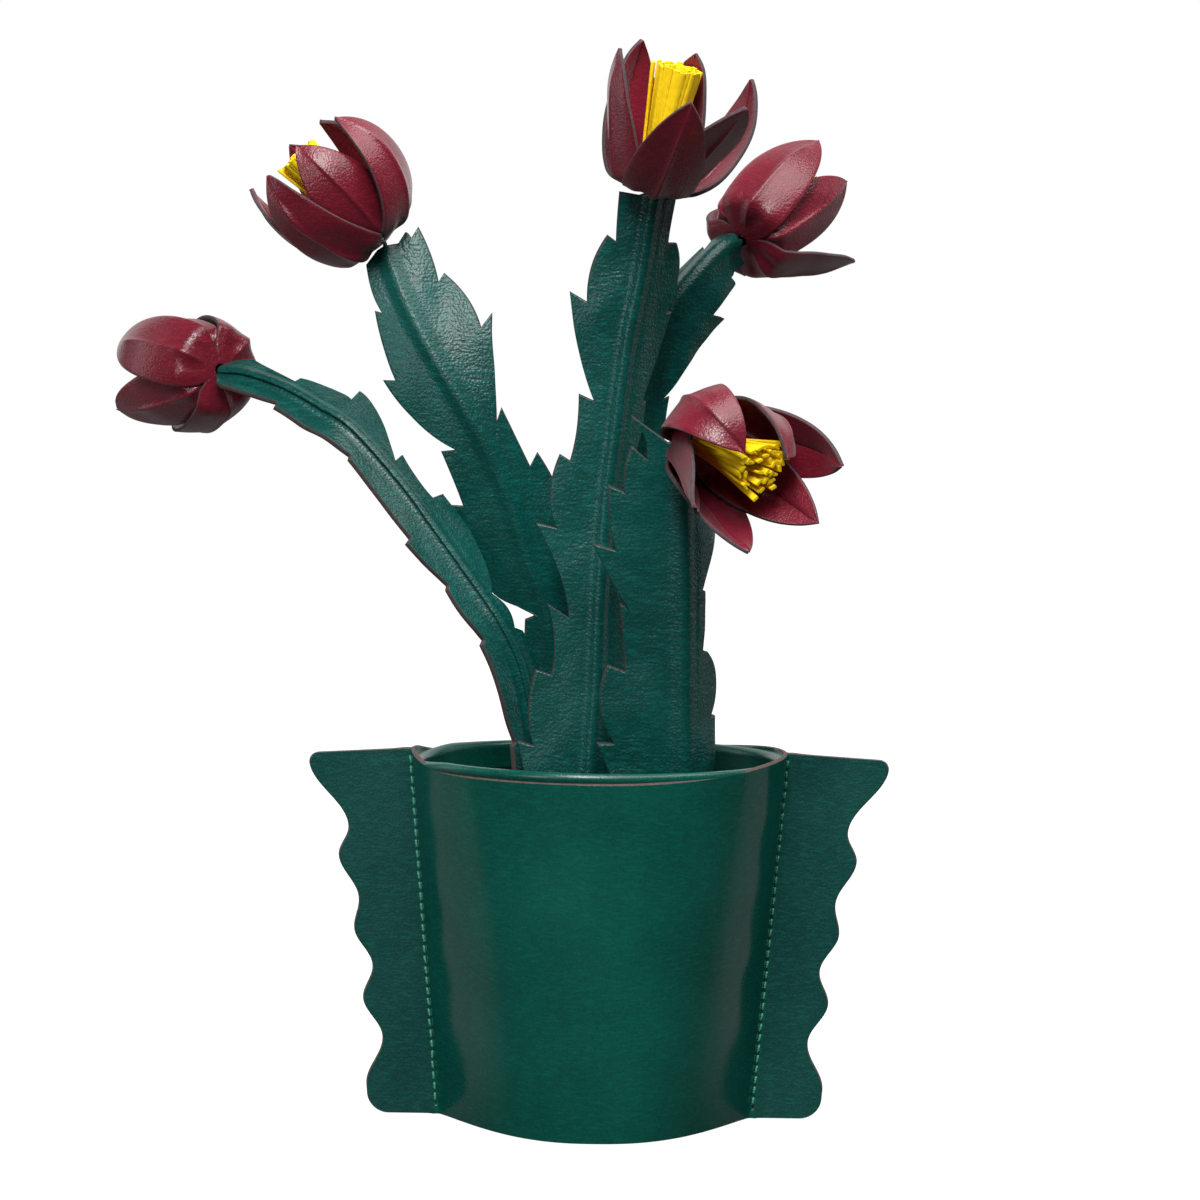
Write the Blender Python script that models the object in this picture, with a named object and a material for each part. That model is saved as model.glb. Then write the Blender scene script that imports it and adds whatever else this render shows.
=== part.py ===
"""A potted christmas cactus made of leather.

Five flat leaf stems with toothed edges each hold a wire in their rib and carry one flower of
six petals round a rolled fringe. The wires stand in a wooden block inside a pot that is sewn
from two panels with scalloped wings.

Sizes are in millimetres and angles in degrees, and the meshes are written in metres. X points
right, Y away from the front and Z up, from the middle of the pot's underside.
"""
import math

import bmesh
import bpy
import numpy as np
from mathutils import Vector
from mathutils.geometry import delaunay_2d_cdt

MM = 0.001
CLEARANCE = 0.3

# Pot
RIM_HALF_WIDTH = 59.4
RIM_DEPTH = 55.0
RIM_HEIGHT = 118.0
RIM_DIP = 4.5
RIM_RISE_POWER = {-1: 12.0, 1: 2.2}
FOOT_HALF_WIDTH = 49.4
FOOT_DEPTH = 49.5
FOOT_FULLNESS = 2.4
FOOT_SLACKNESS = 1.2
PANEL_THICKNESS = 1.3
PANEL_BODY_ARC = 90.0
WING_TOP_SLOPE = 0.058
# Heights of the wing's bumps and notches, and how far each stands out from the seam
WING_EDGE = (
    (3.0, 20.8), (9.3, 22.6), (24.8, 16.3), (37.0, 21.6), (47.6, 17.8),
    (59.5, 22.8), (69.2, 20.6), (83.0, 26.0), (92.3, 22.2), (113.0, 32.8),
)
WING_FOOT_CORNER = (0.8, 17.5)
THREAD_RADIUS = 0.4
THREAD_INSET = 1.1
THREAD_ENDS = (4.0, 115.0)

# Inside the pot
LINING_THICKNESS = 1.2
LINING_RIM = (58.2, 53.2)
LINING_FOOT = (36.4, 47.2)
LINING_TOP = 116.7
BEAD_WIDTH = 2.4
BEAD_HEIGHT = 3.2
BASE_THICKNESS = 3.0
BLOCK_TOP = 69.0
HOLE_FLOOR = 39.0
COVER_THICKNESS = 1.3
LEAF_FOOT = 73.0

# Leaf stems
LEAF_THICKNESS = 1.6
RIB_THICKNESS = 3.2
RIB_HALF_WIDTH = 3.0
RIB_STEP = 9.0
WIRE_RADIUS = 0.8
WIRE_IN_FLOWER = 8.0
CHANNEL_RADIUS = 1.1

# Flowers
PETAL_THICKNESS = 1.2
PETAL_CREASE = 0.8
PETAL_FREE_AT = 14.0
DISC_RADIUS = 6.0
DISC_SLOPE = 80.0
DISC_HOLE = 1.4
# Half a petal's width at lengths from the flower's axis, beyond the disc that joins a whorl
PETAL_OUTLINE = (
    (9.0, 8.7), (14.0, 11.3), (20.0, 11.9), (28.0, 11.5), (36.0, 10.1), (44.0, 7.6), (51.0, 4.0), (56.0, 0.0),
)
# Where the petals of a whorl bend up from its disc, how high the disc lies above the flower's
# base, how much flatter than a cone the petals are and how long they are
OUTER_WHORL = ((11.0, 16.5), 0.6, 2.0, 56.0)
INNER_WHORL = ((9.0, 14.5), 2.3, 0.0, 52.5)
NECK_LENGTH = 1.2
FRINGE_THICKNESS = 0.9
FRINGE_PITCH = 1.45
FRINGE_TURNS = 2.1
FRINGE_BAND = 7.0
FRINGE_HEIGHT = 37.0
FRINGE_STRANDS = 20
FRINGE_SPLAY = 0.12
FRINGE_FLOOR = 3.7
SLIT_SHARE = 0.25
STRAND_VARIATION = 1.5

# Colours, with roughness and metallic value
POT_LEATHER = ((0.010, 0.075, 0.052), 0.50, 0.0)
LEAF_LEATHER = ((0.012, 0.085, 0.062), 0.50, 0.0)
PETAL_LEATHER = ((0.120, 0.010, 0.022), 0.38, 0.0)
FRINGE_LEATHER = ((0.850, 0.560, 0.010), 0.60, 0.0)
SEAM_THREAD = ((0.060, 0.300, 0.220), 0.70, 0.0)
STEEL_WIRE = ((0.550, 0.550, 0.560), 0.35, 1.0)
BLOCK_WOOD = ((0.450, 0.290, 0.150), 0.65, 0.0)

# Each leaf stem: its rib from foot to flower as (x, y, z, left fold, right fold), where a half
# blade is folded back from the front by its angle; how much each half curls on; and the teeth
# of each edge from foot to flower, as (height, reach) along and across the rib at the notch,
# the belly and the tip
LEAVES = {
    "leaf_1": {
        "rib": (
            (-18.0, -2.0, 73.0, -50, 60), (-19.3, -2.0, 102.0, -50, 60), (-20.8, -2.0, 119.6, -50, 60),
            (-25.6, -2.5, 143.3, -50, 60), (-32.2, -2.0, 157.6, -50, 60), (-39.1, 0.0, 167.6, -50, 60),
            (-53.5, 4.5, 186.6, -50, 60), (-65.0, 9.0, 201.4, -52, 60), (-81.1, 15.0, 218.4, -54, 62),
            (-92.4, 21.0, 225.1, -56, 63), (-103.4, 27.0, 230.6, -58, 64), (-116.0, 33.6, 234.4, -60, 64),
            (-123.8, 38.3, 235.0, -60, 64),
        ),
        "curl": (0.0, 0.0),
        "left": (
            (11, 6.5, 30, 9.5, 48, 9.5), (49, 8.0, 64, 10.5, 84, 10.5), (85, 8.5, 95, 10.5, 105, 10.0),
            (106, 8.5, 115, 11.0, 124, 12.5), (125, 9.5, 140, 10.0, 158, 9.5), (159, 8.0, 172, 10.0, 191, 9.5),
            (192, 7.0, 204, 8.0, 216, 6.0),
        ),
        "right": (
            (14, 6.0, 32, 9.0, 54, 9.0), (56, 5.0, 69, 8.0, 82, 7.5), (84, 4.5, 89, 6.5, 93, 6.0),
            (97, 4.0, 112, 12.5, 134, 13.5), (134, 8.0, 142, 7.5, 151, 10.0), (150, 4.5, 164, 13.5, 178, 18.0),
            (176, 11.0, 184, 11.5, 194, 7.5), (194, 4.5, 203, 5.5, 212, 8.0),
        ),
    },
    "leaf_2": {
        "rib": (
            (-13.4, 22.0, 73.0, 10, 10), (-13.4, 22.0, 99.3, 10, 10), (-13.7, 22.0, 117.1, 10, 10),
            (-14.9, 21.0, 138.3, 10, 10), (-17.8, 19.5, 161.1, 10, 10), (-23.1, 18.5, 175.3, 10, 10),
            (-30.5, 17.0, 197.6, 10, 10), (-38.5, 16.5, 215.1, 10, 10), (-47.9, 17.5, 231.0, 10, 10),
            (-56.2, 20.0, 244.3, 10, 10), (-64.7, 24.5, 260.1, 10, 10), (-71.0, 30.0, 275.5, 10, 10),
        ),
        "curl": (0.0, 0.0),
        "left": (
            (9, 6.0, 26, 9.0, 44, 10.0), (45, 7.5, 66, 9.0, 86, 7.0), (87, 3.0, 95, 11.3, 103, 16.0),
            (103.1, 16.0, 116, 18.2, 131, 18.5), (129, 14.5, 141, 14.0, 150, 13.5), (148, 9.0, 162, 15.5, 180, 18.0),
            (178, 14.5, 189, 12.8, 200, 10.0), (198.5, 8.2, 206, 8.6, 214.9, 7.4),
        ),
        "right": (
            (9, 6.0, 26, 10.0, 44, 11.0), (45, 8.0, 66, 12.0, 86, 13.0), (84, 8.0, 105, 16.0, 136, 14.0),
            (133, 10.0, 143, 9.7, 153, 10.0), (150, 6.5, 163, 13.5, 182, 23.0), (179, 17.5, 191, 18.2, 203, 14.8),
            (200.4, 12.0, 210, 12.8, 220.8, 12.0), (217.3, 8.6, 219.3, 8.3, 220.5, 7.4),
        ),
    },
    "leaf_3": {
        "rib": (
            (-3.6, -14.0, 73.0, 5, 45), (-3.4, -14.0, 103.8, 5, 45), (-2.4, -13.5, 126.1, 5, 45),
            (-1.4, -13.0, 142.3, 5, 45), (-1.0, -12.5, 161.0, 5, 45), (-0.3, -12.0, 178.4, 5, 45),
            (0.9, -11.0, 199.0, 5, 48), (3.2, -11.0, 218.0, 5, 50), (4.8, -11.0, 232.9, 5, 50),
            (7.1, -11.0, 250.6, 5, 50), (9.4, -11.0, 263.2, 5, 50), (11.2, -11.0, 273.0, 5, 50),
            (12.6, -12.0, 283.1, 5, 50), (14.3, -13.7, 294.2, 5, 50),
        ),
        "curl": (0.0, 0.0),
        "left": (
            (13, 12.0, 30, 18.0, 47.5, 23.0), (46.5, 18.0, 58, 20.5, 71, 19.0), (69.5, 14.0, 81, 13.5, 92, 16.0),
            (88, 9.0, 101, 12.5, 117, 21.0), (116, 14.5, 126, 17.5, 138, 16.0), (136.5, 12.5, 147, 11.8, 158, 12.5),
            (156.5, 7.5, 169, 13.5, 188, 20.5), (186, 14.5, 198, 15.3, 208.5, 12.0), (207, 9.0, 214, 9.8, 222.5, 10.5),
        ),
        "right": (
            (13, 8.0, 32, 13.0, 50, 14.0), (50, 10.5, 67, 14.5, 86, 15.5), (86, 9.0, 101, 13.5, 118, 15.5),
            (118, 10.0, 129, 13.0, 140, 13.0), (140, 9.0, 149, 11.5, 158, 12.0), (157, 9.5, 173, 14.5, 188, 16.5),
            (187, 14.0, 198, 16.5, 208, 13.5), (208, 9.5, 214, 9.3, 222.5, 9.5),
        ),
    },
    "leaf_4": {
        "rib": (
            (13.7, 16.0, 73.0, 40, 5), (13.4, 16.0, 100.3, 40, 5), (12.4, 16.0, 118.1, 40, 5),
            (10.3, 15.0, 152.2, 40, 5), (8.5, 14.0, 184.5, 40, 5), (8.4, 14.0, 210.2, 45, 5),
            (10.1, 15.0, 229.4, 50, 5), (14.3, 17.0, 247.0, 55, 5), (21.2, 20.0, 259.5, 60, 5),
            (29.1, 25.0, 269.4, 64, 5), (36.2, 32.0, 276.8, 66, 5), (41.0, 37.4, 279.7, 66, 5),
        ),
        "curl": (0.0, 3.0),
        "left": (
            (11, 8.0, 30, 13.0, 50, 15.0), (49, 11.0, 68, 15.0, 88, 16.0), (86, 9.0, 103, 14.0, 124, 17.0),
            (122, 12.0, 138, 13.0, 156, 12.0), (154, 7.5, 166, 12.0, 180, 15.0), (178, 11.0, 190, 12.5, 203, 13.0),
            (202, 9.0, 209, 8.0, 216, 6.5), (214, 4.5, 220, 5.5, 225, 5.5),
        ),
        "right": (
            (11, 8.0, 30, 13.0, 50, 15.0), (49, 11.0, 68, 15.0, 88, 16.0), (86, 9.0, 103, 14.0, 124, 17.0),
            (122, 12.0, 141, 11.5, 160, 10.5), (157, 7.5, 174, 14.5, 203, 18.5), (196, 13.5, 205, 12.8, 216, 12.0),
            (214, 9.0, 220, 8.5, 225, 7.5),
        ),
    },
    "leaf_5": {
        "rib": (
            (27.0, -24.0, 73.0, 5, 42), (26.6, -24.0, 105.5, 5, 42), (26.3, -25.0, 123.0, 5, 42),
            (26.0, -26.0, 140.5, 5, 42), (25.7, -27.0, 156.4, 5, 42), (25.5, -28.0, 172.3, 5, 42),
            (24.9, -29.0, 188.1, 5, 42), (24.4, -30.5, 203.9, 5, 42), (24.3, -31.8, 213.0, 5, 42),
            (24.6, -32.6, 218.0, 5, 42),
        ),
        "curl": (0.0, 1.8),
        "left": (
            (16, 13.0, 33, 20.0, 50, 27.0), (50, 21.5, 62, 26.0, 75, 23.5), (73, 18.0, 84, 18.5, 95, 19.5),
            (88, 13.5, 100, 21.0, 114, 27.5), (112, 20.5, 122, 22.5, 132, 22.5), (130, 17.5, 137, 17.5, 143, 15.5),
            (140, 10.5, 147, 12.0, 153, 17.0),
        ),
        "right": (
            (16, 9.0, 35, 14.5, 57, 17.5), (57, 13.5, 68, 18.0, 78, 12.0), (79, 8.5, 89, 9.5, 98, 9.5),
            (92, 4.5, 104, 11.0, 115, 18.0), (117, 16.0, 124, 11.5, 133, 13.0), (131, 9.0, 138, 10.5, 147, 11.0),
        ),
    },
}

# Each flower: its axis; how far its base is pushed right and up from the leaf's end; the turn of its
# first outer petal round the axis; and for each outer and inner petal how far it sways round the
# axis from its even place, leans out and bows
FLOWERS = {
    "flower_1": {
        "axis": (-0.51, 0.86, -0.03), "offset": (1.0, 0.9), "turn": -65.4,
        "outer": ((4, 3, 24), (0, -4, 22), (-9, 1, 29)), "inner": ((12, -2, 18), (-8, -2, 14), (-1, 12, 16)),
    },
    "flower_2": {
        "axis": (-0.71, -0.06, 0.70), "offset": (1.1, 0.3), "turn": 97.5,
        "outer": ((-6, 6, 27), (12, 2, 36), (-11, 8, 44)), "inner": ((16, 8, 31), (2, 2, 35), (-1, 3, 36)),
    },
    "flower_3": {
        "axis": (0.21, -0.17, 0.96), "offset": (-1.5, 0.2), "turn": -89.2,
        "outer": ((8, 34, 10), (1, 18, 33), (-22, 9, 15)), "inner": ((-20, 35, -2), (-29, -5, 8), (-8, 12, 11)),
    },
    "flower_4": {
        "axis": (0.52, 0.73, 0.43), "offset": (1.3, -0.4), "turn": -1.7,
        "outer": ((10, 22, 6), (-23, 8, 26), (-2, 2, 19)), "inner": ((20, -1, -10), (-10, 1, 15), (3, 2, 13)),
    },
    "flower_5": {
        "axis": (0.49, -0.83, -0.26), "offset": (2.6, 2.2), "turn": 2.9,
        "outer": ((12, 11, 4), (-1, 19, 25), (-2, -11, 61)), "inner": ((18, 20, -7), (-26, -6, 47), (8, 20, -6)),
    },
}


def mesh_object(name, points, faces, finish):
    """A mesh object from points in millimetres, with a material of its own."""
    colour, roughness, metallic = finish
    material = bpy.data.materials.new(name + "_finish")
    material.use_nodes = True
    shader = material.node_tree.nodes["Principled BSDF"]
    shader.inputs["Base Color"].default_value = (*colour, 1.0)
    shader.inputs["Roughness"].default_value = roughness
    shader.inputs["Metallic"].default_value = metallic
    mesh = bpy.data.meshes.new(name)
    mesh.from_pydata((np.asarray(points) * MM).tolist(), [], [tuple(map(int, f)) for f in faces])
    mesh.materials.append(material)
    mesh.shade_smooth()
    mesh.set_sharp_from_angle(angle=math.radians(40))
    thing = bpy.data.objects.new(name, mesh)
    bpy.context.scene.collection.objects.link(thing)
    return thing


def close_and_orient(thing):
    """Merges the points that coincide and turns every face outwards."""
    work = bmesh.new()
    work.from_mesh(thing.data)
    bmesh.ops.remove_doubles(work, verts=work.verts, dist=0.01 * MM)
    bmesh.ops.recalc_face_normals(work, faces=work.faces)
    work.to_mesh(thing.data)
    work.free()
    return thing


def give_thickness(thing, thickness):
    """Thickens a sheet evenly to both sides of its middle surface."""
    wall = thing.modifiers.new("thickness", "SOLIDIFY")
    wall.thickness = thickness * MM
    wall.offset = 0.0
    return wall


def cut_sheet(name, outline, creases, inner, shape, thickness, finish):
    """Cuts a piece from flat leather and forms it: the outline, the crease lines and the inner
    points lie in the flat pattern, which is split into triangles along the outline and the
    creases, and shape() carries the points into space."""
    flat = [Vector(p) for p in outline]
    edges = []
    for line in creases:
        edges += [(len(flat) + k, len(flat) + k + 1) for k in range(len(line) - 1)]
        flat += [Vector(p) for p in line]
    flat += [Vector(p) for p in inner]
    points, _, faces, _, _, _ = delaunay_2d_cdt(flat, edges, [list(range(len(outline)))], 1, 1e-5)
    pattern = np.array([tuple(p) for p in points])
    sheet = mesh_object(name, shape(pattern[:, 0], pattern[:, 1]), faces, finish)
    return sheet, pattern, give_thickness(sheet, thickness)


def tube(name, path, radius, sides, finish):
    """A round bar with flat ends along a path, its rings carried on without twist."""
    path = np.asarray(path, float)
    along = np.gradient(path, axis=0)
    along /= np.linalg.norm(along, axis=1)[:, None]
    side = np.cross(along[0], (0.31, 0.95, 0.05))
    turn = np.linspace(0, 2 * math.pi, sides, endpoint=False)
    rings = []
    for centre, ahead in zip(path, along):
        side = side - ahead * np.dot(side, ahead)
        side /= np.linalg.norm(side)
        across = np.cross(ahead, side)
        rings.append(centre + radius * (np.outer(np.cos(turn), side) + np.outer(np.sin(turn), across)))
    faces = [list(range(sides))[::-1]]
    for k in range(len(path) - 1):
        for i in range(sides):
            j = (i + 1) % sides
            faces.append((k * sides + i, k * sides + j, (k + 1) * sides + j, (k + 1) * sides + i))
    faces.append([(len(path) - 1) * sides + i for i in range(sides)])
    return mesh_object(name, np.vstack(rings), faces, finish)


def cutter(thing):
    """Marks an object as a cutter, which is no part of the plant."""
    thing.hide_render = True
    thing.display_type = "WIRE"
    return thing


def cut(thing, tool):
    """Takes the tool's volume out of a solid."""
    boolean = thing.modifiers.new("cut_" + tool.name, "BOOLEAN")
    boolean.operation = "DIFFERENCE"
    boolean.object = tool


def catmull_rom(stations, steps):
    """Points of a smooth curve through the stations, in every one of their columns."""
    rows = np.asarray(stations, float)
    rows = np.vstack([2 * rows[0] - rows[1], rows, 2 * rows[-1] - rows[-2]])
    t = np.linspace(0, 1, steps, endpoint=False)[:, None]
    curve = []
    for a, b, c, d in zip(rows, rows[1:], rows[2:], rows[3:]):
        curve.append(0.5 * (2 * b + (c - a) * t + (2 * a - 5 * b + 4 * c - d) * t ** 2
                            + (3 * b - a - 3 * c + d) * t ** 3))
    return np.vstack(curve + [rows[-2:-1]])


# Pot

def plan_y(share, arc):
    """How far the pot's middle surface stands out at a share of its height, 0 at the foot and 1
    at the rim, and at an arc from -90 to 90 between the seams. Straight lines join the rim's
    ellipse to the foot's slacker curve."""
    q = np.abs(np.sin(np.radians(np.clip(arc, -90, 90))))
    rim = RIM_DEPTH * np.sqrt(np.clip(1 - q ** 2, 0, 1))
    foot = FOOT_DEPTH * np.clip(1 - q ** FOOT_FULLNESS, 0, 1) ** FOOT_SLACKNESS
    return foot + (rim - foot) * share


def half_width(z):
    return FOOT_HALF_WIDTH + (RIM_HALF_WIDTH - FOOT_HALF_WIDTH) * z / RIM_HEIGHT


def rim_line(arc):
    """Height of a panel's raw edge: level along the front, rising to the seams."""
    q = math.sin(math.radians(arc))
    power = RIM_RISE_POWER[1 if q > 0 else -1]
    return RIM_HEIGHT - RIM_DIP * (1 - abs(q) ** power)


def wing_profile(steps):
    """The wing's outer edge from foot to top, with smooth waves between bumps and notches."""
    edge = []
    for (z0, r0), (z1, r1) in zip(WING_EDGE, WING_EDGE[1:]):
        for k in range(steps):
            t = k / steps
            edge.append((z0 + (z1 - z0) * t, r0 + (r1 - r0) * (1 - math.cos(math.pi * t)) / 2))
    return edge + [WING_EDGE[-1]]


def pot_panel(name, facing):
    """One panel with its half of both wings; facing is -1 for the front and 1 for the back."""
    seam = PANEL_BODY_ARC
    offset = (PANEL_THICKNESS + CLEARANCE) / 2

    def shape(arc, z):
        body = half_width(z) * np.sin(np.radians(np.clip(arc, -seam, seam)))
        wing = np.sign(arc) * np.clip(np.abs(arc) - seam, 0, None)
        y = facing * (offset + plan_y(z / RIM_HEIGHT, arc))
        return np.column_stack([body + wing, y, z])

    arcs = list(range(-80, 81, 10))
    edge = wing_profile(3)
    right = [(seam + reach, z) for z, reach in [WING_FOOT_CORNER] + edge]
    top_corner = right[-1][0] - seam
    right += [(seam + top_corner * k, RIM_HEIGHT - WING_TOP_SLOPE * top_corner * k) for k in (0.96, 0.88, 0.5)]
    rim = [(a, rim_line(a)) for a in [seam] + arcs[::-1] + [-seam]]
    left = [(-a, z) for a, z in right[::-1]]
    foot = [(a, CLEARANCE) for a in [-seam] + arcs + [seam]]
    outline = foot + right + rim + left
    levels = (CLEARANCE, 28.0, 56.0, 84.0, RIM_HEIGHT)
    creases = [[(side * seam, z) for z in levels] for side in (-1, 1)]
    inner = [(a, z) for a in arcs for z in levels[1:-1]]
    inner += [(side * (seam + 10.0), z) for side in (-1, 1) for z in (14.0, 42.0, 70.0, 98.0)]
    panel, _, _ = cut_sheet(name, outline, creases, inner, shape, PANEL_THICKNESS, POT_LEATHER)
    return panel


def seam_thread(name, facing, side):
    """The run of thread beside one seam, on the outer face of one panel."""
    y = facing * (CLEARANCE / 2 + PANEL_THICKNESS + CLEARANCE + THREAD_RADIUS)
    heights = np.linspace(*THREAD_ENDS, 6)
    path = [(side * (half_width(z) + THREAD_INSET), y, z) for z in heights]
    return tube(name, path, THREAD_RADIUS, 6, SEAM_THREAD)


def oval(share):
    """Half axes of the lining's middle surface at a share of the rim's height."""
    return [f + (r - f) * share for f, r in zip(LINING_FOOT, LINING_RIM)]


def oval_stack(name, levels, columns, finish, closed_ends):
    """A solid of oval rings; each level is (height, distance inside the lining's middle)."""
    turn = np.linspace(0, 2 * math.pi, columns, endpoint=False)
    rings = []
    for z, inset in levels:
        a, b = oval(z / RIM_HEIGHT)
        rings.append(np.column_stack([(a - inset) * np.cos(turn), (b - inset) * np.sin(turn), np.full(columns, z)]))
    faces = []
    count = len(levels)
    for k in range(count - 1 if closed_ends else count):
        n = (k + 1) % count
        for i in range(columns):
            j = (i + 1) % columns
            faces.append((k * columns + i, k * columns + j, n * columns + j, n * columns + i))
    if closed_ends:
        faces.append(list(range(columns))[::-1])
        faces.append([(count - 1) * columns + i for i in range(columns)])
    return close_and_orient(mesh_object(name, np.vstack(rings), faces, finish))


def pot_lining():
    """The inner wall, rolled over to a bead that stands above the panels' raw edges."""
    half = LINING_THICKNESS / 2
    bead = BEAD_WIDTH - half
    top = LINING_TOP
    middle = RIM_HEIGHT / 2
    levels = [
        (CLEARANCE, -half), (middle, -half), (top - half, -half), (top, 0.0),
        (top, bead - half), (top - half, bead), (top - BEAD_HEIGHT + half, bead), (top - BEAD_HEIGHT, half),
        (middle, half), (CLEARANCE, half),
    ]
    return oval_stack("pot_lining", levels, 36, POT_LEATHER, False)


def pot_inside(name, bottom, top, finish):
    """A solid that fills the lining from one height to another."""
    inset = LINING_THICKNESS / 2 + 2 * CLEARANCE
    return oval_stack(name, [(bottom, inset), (top, inset)], 36, finish, True)


# Leaf stems

def rib_table(stations):
    """The rib as rows of length, x, y, z, left fold and right fold."""
    rows = catmull_rom(stations, 12)
    steps = np.linalg.norm(np.diff(rows[:, :3], axis=0), axis=1)
    return np.column_stack([np.concatenate([[0.0], np.cumsum(steps)]), rows])


def leaf_surface(table, curl):
    """The blade's middle surface as a function of reach across the rib and height along it.
    Each half leaves the rib at its fold and curls on evenly."""
    length = table[-1, 0]

    def column(k, height):
        return np.interp(height, table[:, 0], table[:, k])

    def place(height):
        return np.column_stack([column(k, height) for k in (1, 2, 3)])

    def shape(reach, height):
        on_rib = np.clip(height, 0.0, length)
        along = place(np.clip(on_rib + 1.0, 1.0, length)) - place(np.clip(on_rib - 1.0, 0.0, length - 1.0))
        along /= np.linalg.norm(along, axis=1)[:, None]
        right = np.cross((0.0, 1.0, 0.0), along)
        right /= np.linalg.norm(right, axis=1)[:, None]
        front = np.cross(right, along)
        is_left = reach < 0
        fold = np.where(is_left, column(4, on_rib), column(5, on_rib))
        fold = fold + np.where(is_left, *curl) * np.abs(reach) / 2
        fold = np.radians(fold)[:, None]
        out = np.where(is_left, -1.0, 1.0)[:, None] * right * np.cos(fold) - front * np.sin(fold)
        beyond = (height - on_rib)[:, None]
        return place(on_rib) + along * beyond + out * np.abs(reach)[:, None]

    return shape


def toothed_edge(teeth, steps):
    """(height, reach) points of one edge: each tooth is a curve from notch over belly to tip."""
    edge = []
    for s0, w0, s1, w1, s2, w2 in teeth:
        for t in np.linspace(0, 1, steps + 1):
            a, b, c = (1 - t) * (1 - 2 * t), 4 * t * (1 - t), t * (2 * t - 1)
            edge.append((a * s0 + b * s1 + c * s2, a * w0 + b * w1 + c * w2))
    return edge


def leaf(name, spec):
    """A toothed blade with its raised rib; the rib's wire channel is cut out of it."""
    table = rib_table(spec["rib"])
    length = table[-1, 0]
    shape = leaf_surface(table, spec["curl"])
    right = [(w, s) for s, w in toothed_edge(spec["right"], 3)]
    left = [(-w, s) for s, w in toothed_edge(spec["left"], 3)]
    outline = [(0.0, 0.0)] + right + [(RIB_HALF_WIDTH, length), (0.0, length), (-RIB_HALF_WIDTH, length)] + left[::-1]
    heights = np.linspace(0, length, round(length / RIB_STEP) + 1)
    rib_line = [(0.0, s) for s in heights]
    flanks = [(side * RIB_HALF_WIDTH, s) for s in heights[2:-1] for side in (-1, 1)]
    blade, pattern, wall = cut_sheet(name, outline, [rib_line], flanks, shape, RIB_THICKNESS, LEAF_LEATHER)
    rib = blade.vertex_groups.new(name="rib")
    rib.add([i for i, (w, _) in enumerate(pattern) if abs(w) < 0.01], 1.0, "REPLACE")
    wall.vertex_group = "rib"
    wall.thickness_vertex_group = LEAF_THICKNESS / RIB_THICKNESS
    crest = shape(np.zeros_like(heights), heights)
    return blade, crest


# Flowers

def unit(vector):
    return np.asarray(vector) / np.linalg.norm(vector)


def flower_frame(axis, offset, crest):
    """The middle of a flower's base, its axis, and the two directions across it that its petals
    are turned from. The base stands further off the more the leaf's end is turned to it."""
    axis = unit(axis)
    across = unit(np.cross((0.0, 1.0, 0.0), axis))
    neck = unit(crest[-1] - crest[-2])
    tilt = np.linalg.norm(np.cross(axis, neck))
    base = crest[-1] + NECK_LENGTH * neck + (CLEARANCE + RIB_HALF_WIDTH * tilt) * axis
    base += (offset[0], 0.0, offset[1])
    return base, axis, across, np.cross(axis, across)


def in_flower(frame, radial, turn, height):
    """Points at a distance from the flower's axis, an angle round it and a height on it."""
    base, axis, across, away = frame
    radial, turn, height = (np.asarray(v, float)[:, None] for v in (radial, turn, height))
    return base + axis * height + (across * np.cos(turn) + away * np.sin(turn)) * radial


def petal_grid(turn, sway, lean, bow, bend, floor, flatness, reach):
    """One petal as rows of five points (distance from the axis, turn round it, height on it)
    and a last point at its tip. Its middle line leaves the disc's hole at a gentle slope, bends
    up, and bows back towards the axis; across it the petal is an arc with a creased middle."""
    hole = DISC_HOLE + PETAL_THICKNESS / 2
    first, full = PETAL_OUTLINE[0][0], PETAL_OUTLINE[-1][0]
    free = [(first + (length - first) * (reach - first) / (full - first), half) for length, half in PETAL_OUTLINE]
    outline = [(hole, None), (DISC_RADIUS, None)] + free
    fine = np.linspace(hole, reach, 120)
    step = fine[1] - fine[0]
    rise = np.clip((fine - bend[0]) / (bend[1] - bend[0]), 0, 1)
    rise = rise * rise * (3 - 2 * rise)
    beyond = np.clip((fine - bend[1]) / (fine[-1] - bend[1]), 0, 1)
    slope = np.radians(DISC_SLOPE + (lean + bow * (1 - 2 * beyond) - DISC_SLOPE) * rise)
    out = hole + (np.cumsum(np.sin(slope)) - math.sin(slope[0])) * step
    up = floor + (np.cumsum(np.cos(slope)) - math.cos(slope[0])) * step
    points = []
    for length, half in outline:
        rho, height, angle = (np.interp(length, fine, v) for v in (out, up, slope))
        open_share = np.clip((length - DISC_RADIUS) / (PETAL_FREE_AT - DISC_RADIUS), 0, 1)
        wrap = rho + flatness * open_share
        if half is None:
            half = rho * math.pi / 3
        for share in ((-1.0, -0.5, 0.0, 0.5, 1.0) if half else (0.0,)):
            bump = PETAL_CREASE * open_share * (share == 0.0 < half)
            along = rho - wrap + wrap * math.cos(half * share / wrap) + bump * math.cos(angle)
            aside = wrap * math.sin(half * share / wrap)
            points.append((math.hypot(along, aside),
                           math.radians(turn + sway * open_share) + math.atan2(aside, along),
                           height - bump * math.sin(angle)))
    return points


def petal_faces(first, rows):
    """Triangles of a petal's grid, alike on both sides of its crease."""
    faces = []
    for row in range(rows - 1):
        for i in range(4):
            a = first + 5 * row + i
            if i < 2:
                faces += [(a, a + 1, a + 6), (a, a + 6, a + 5)]
            else:
                faces += [(a, a + 1, a + 5), (a + 1, a + 6, a + 5)]
    last = first + 5 * (rows - 1)
    return faces + [(last + i, last + i + 1, last + 5) for i in range(4)]


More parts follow.
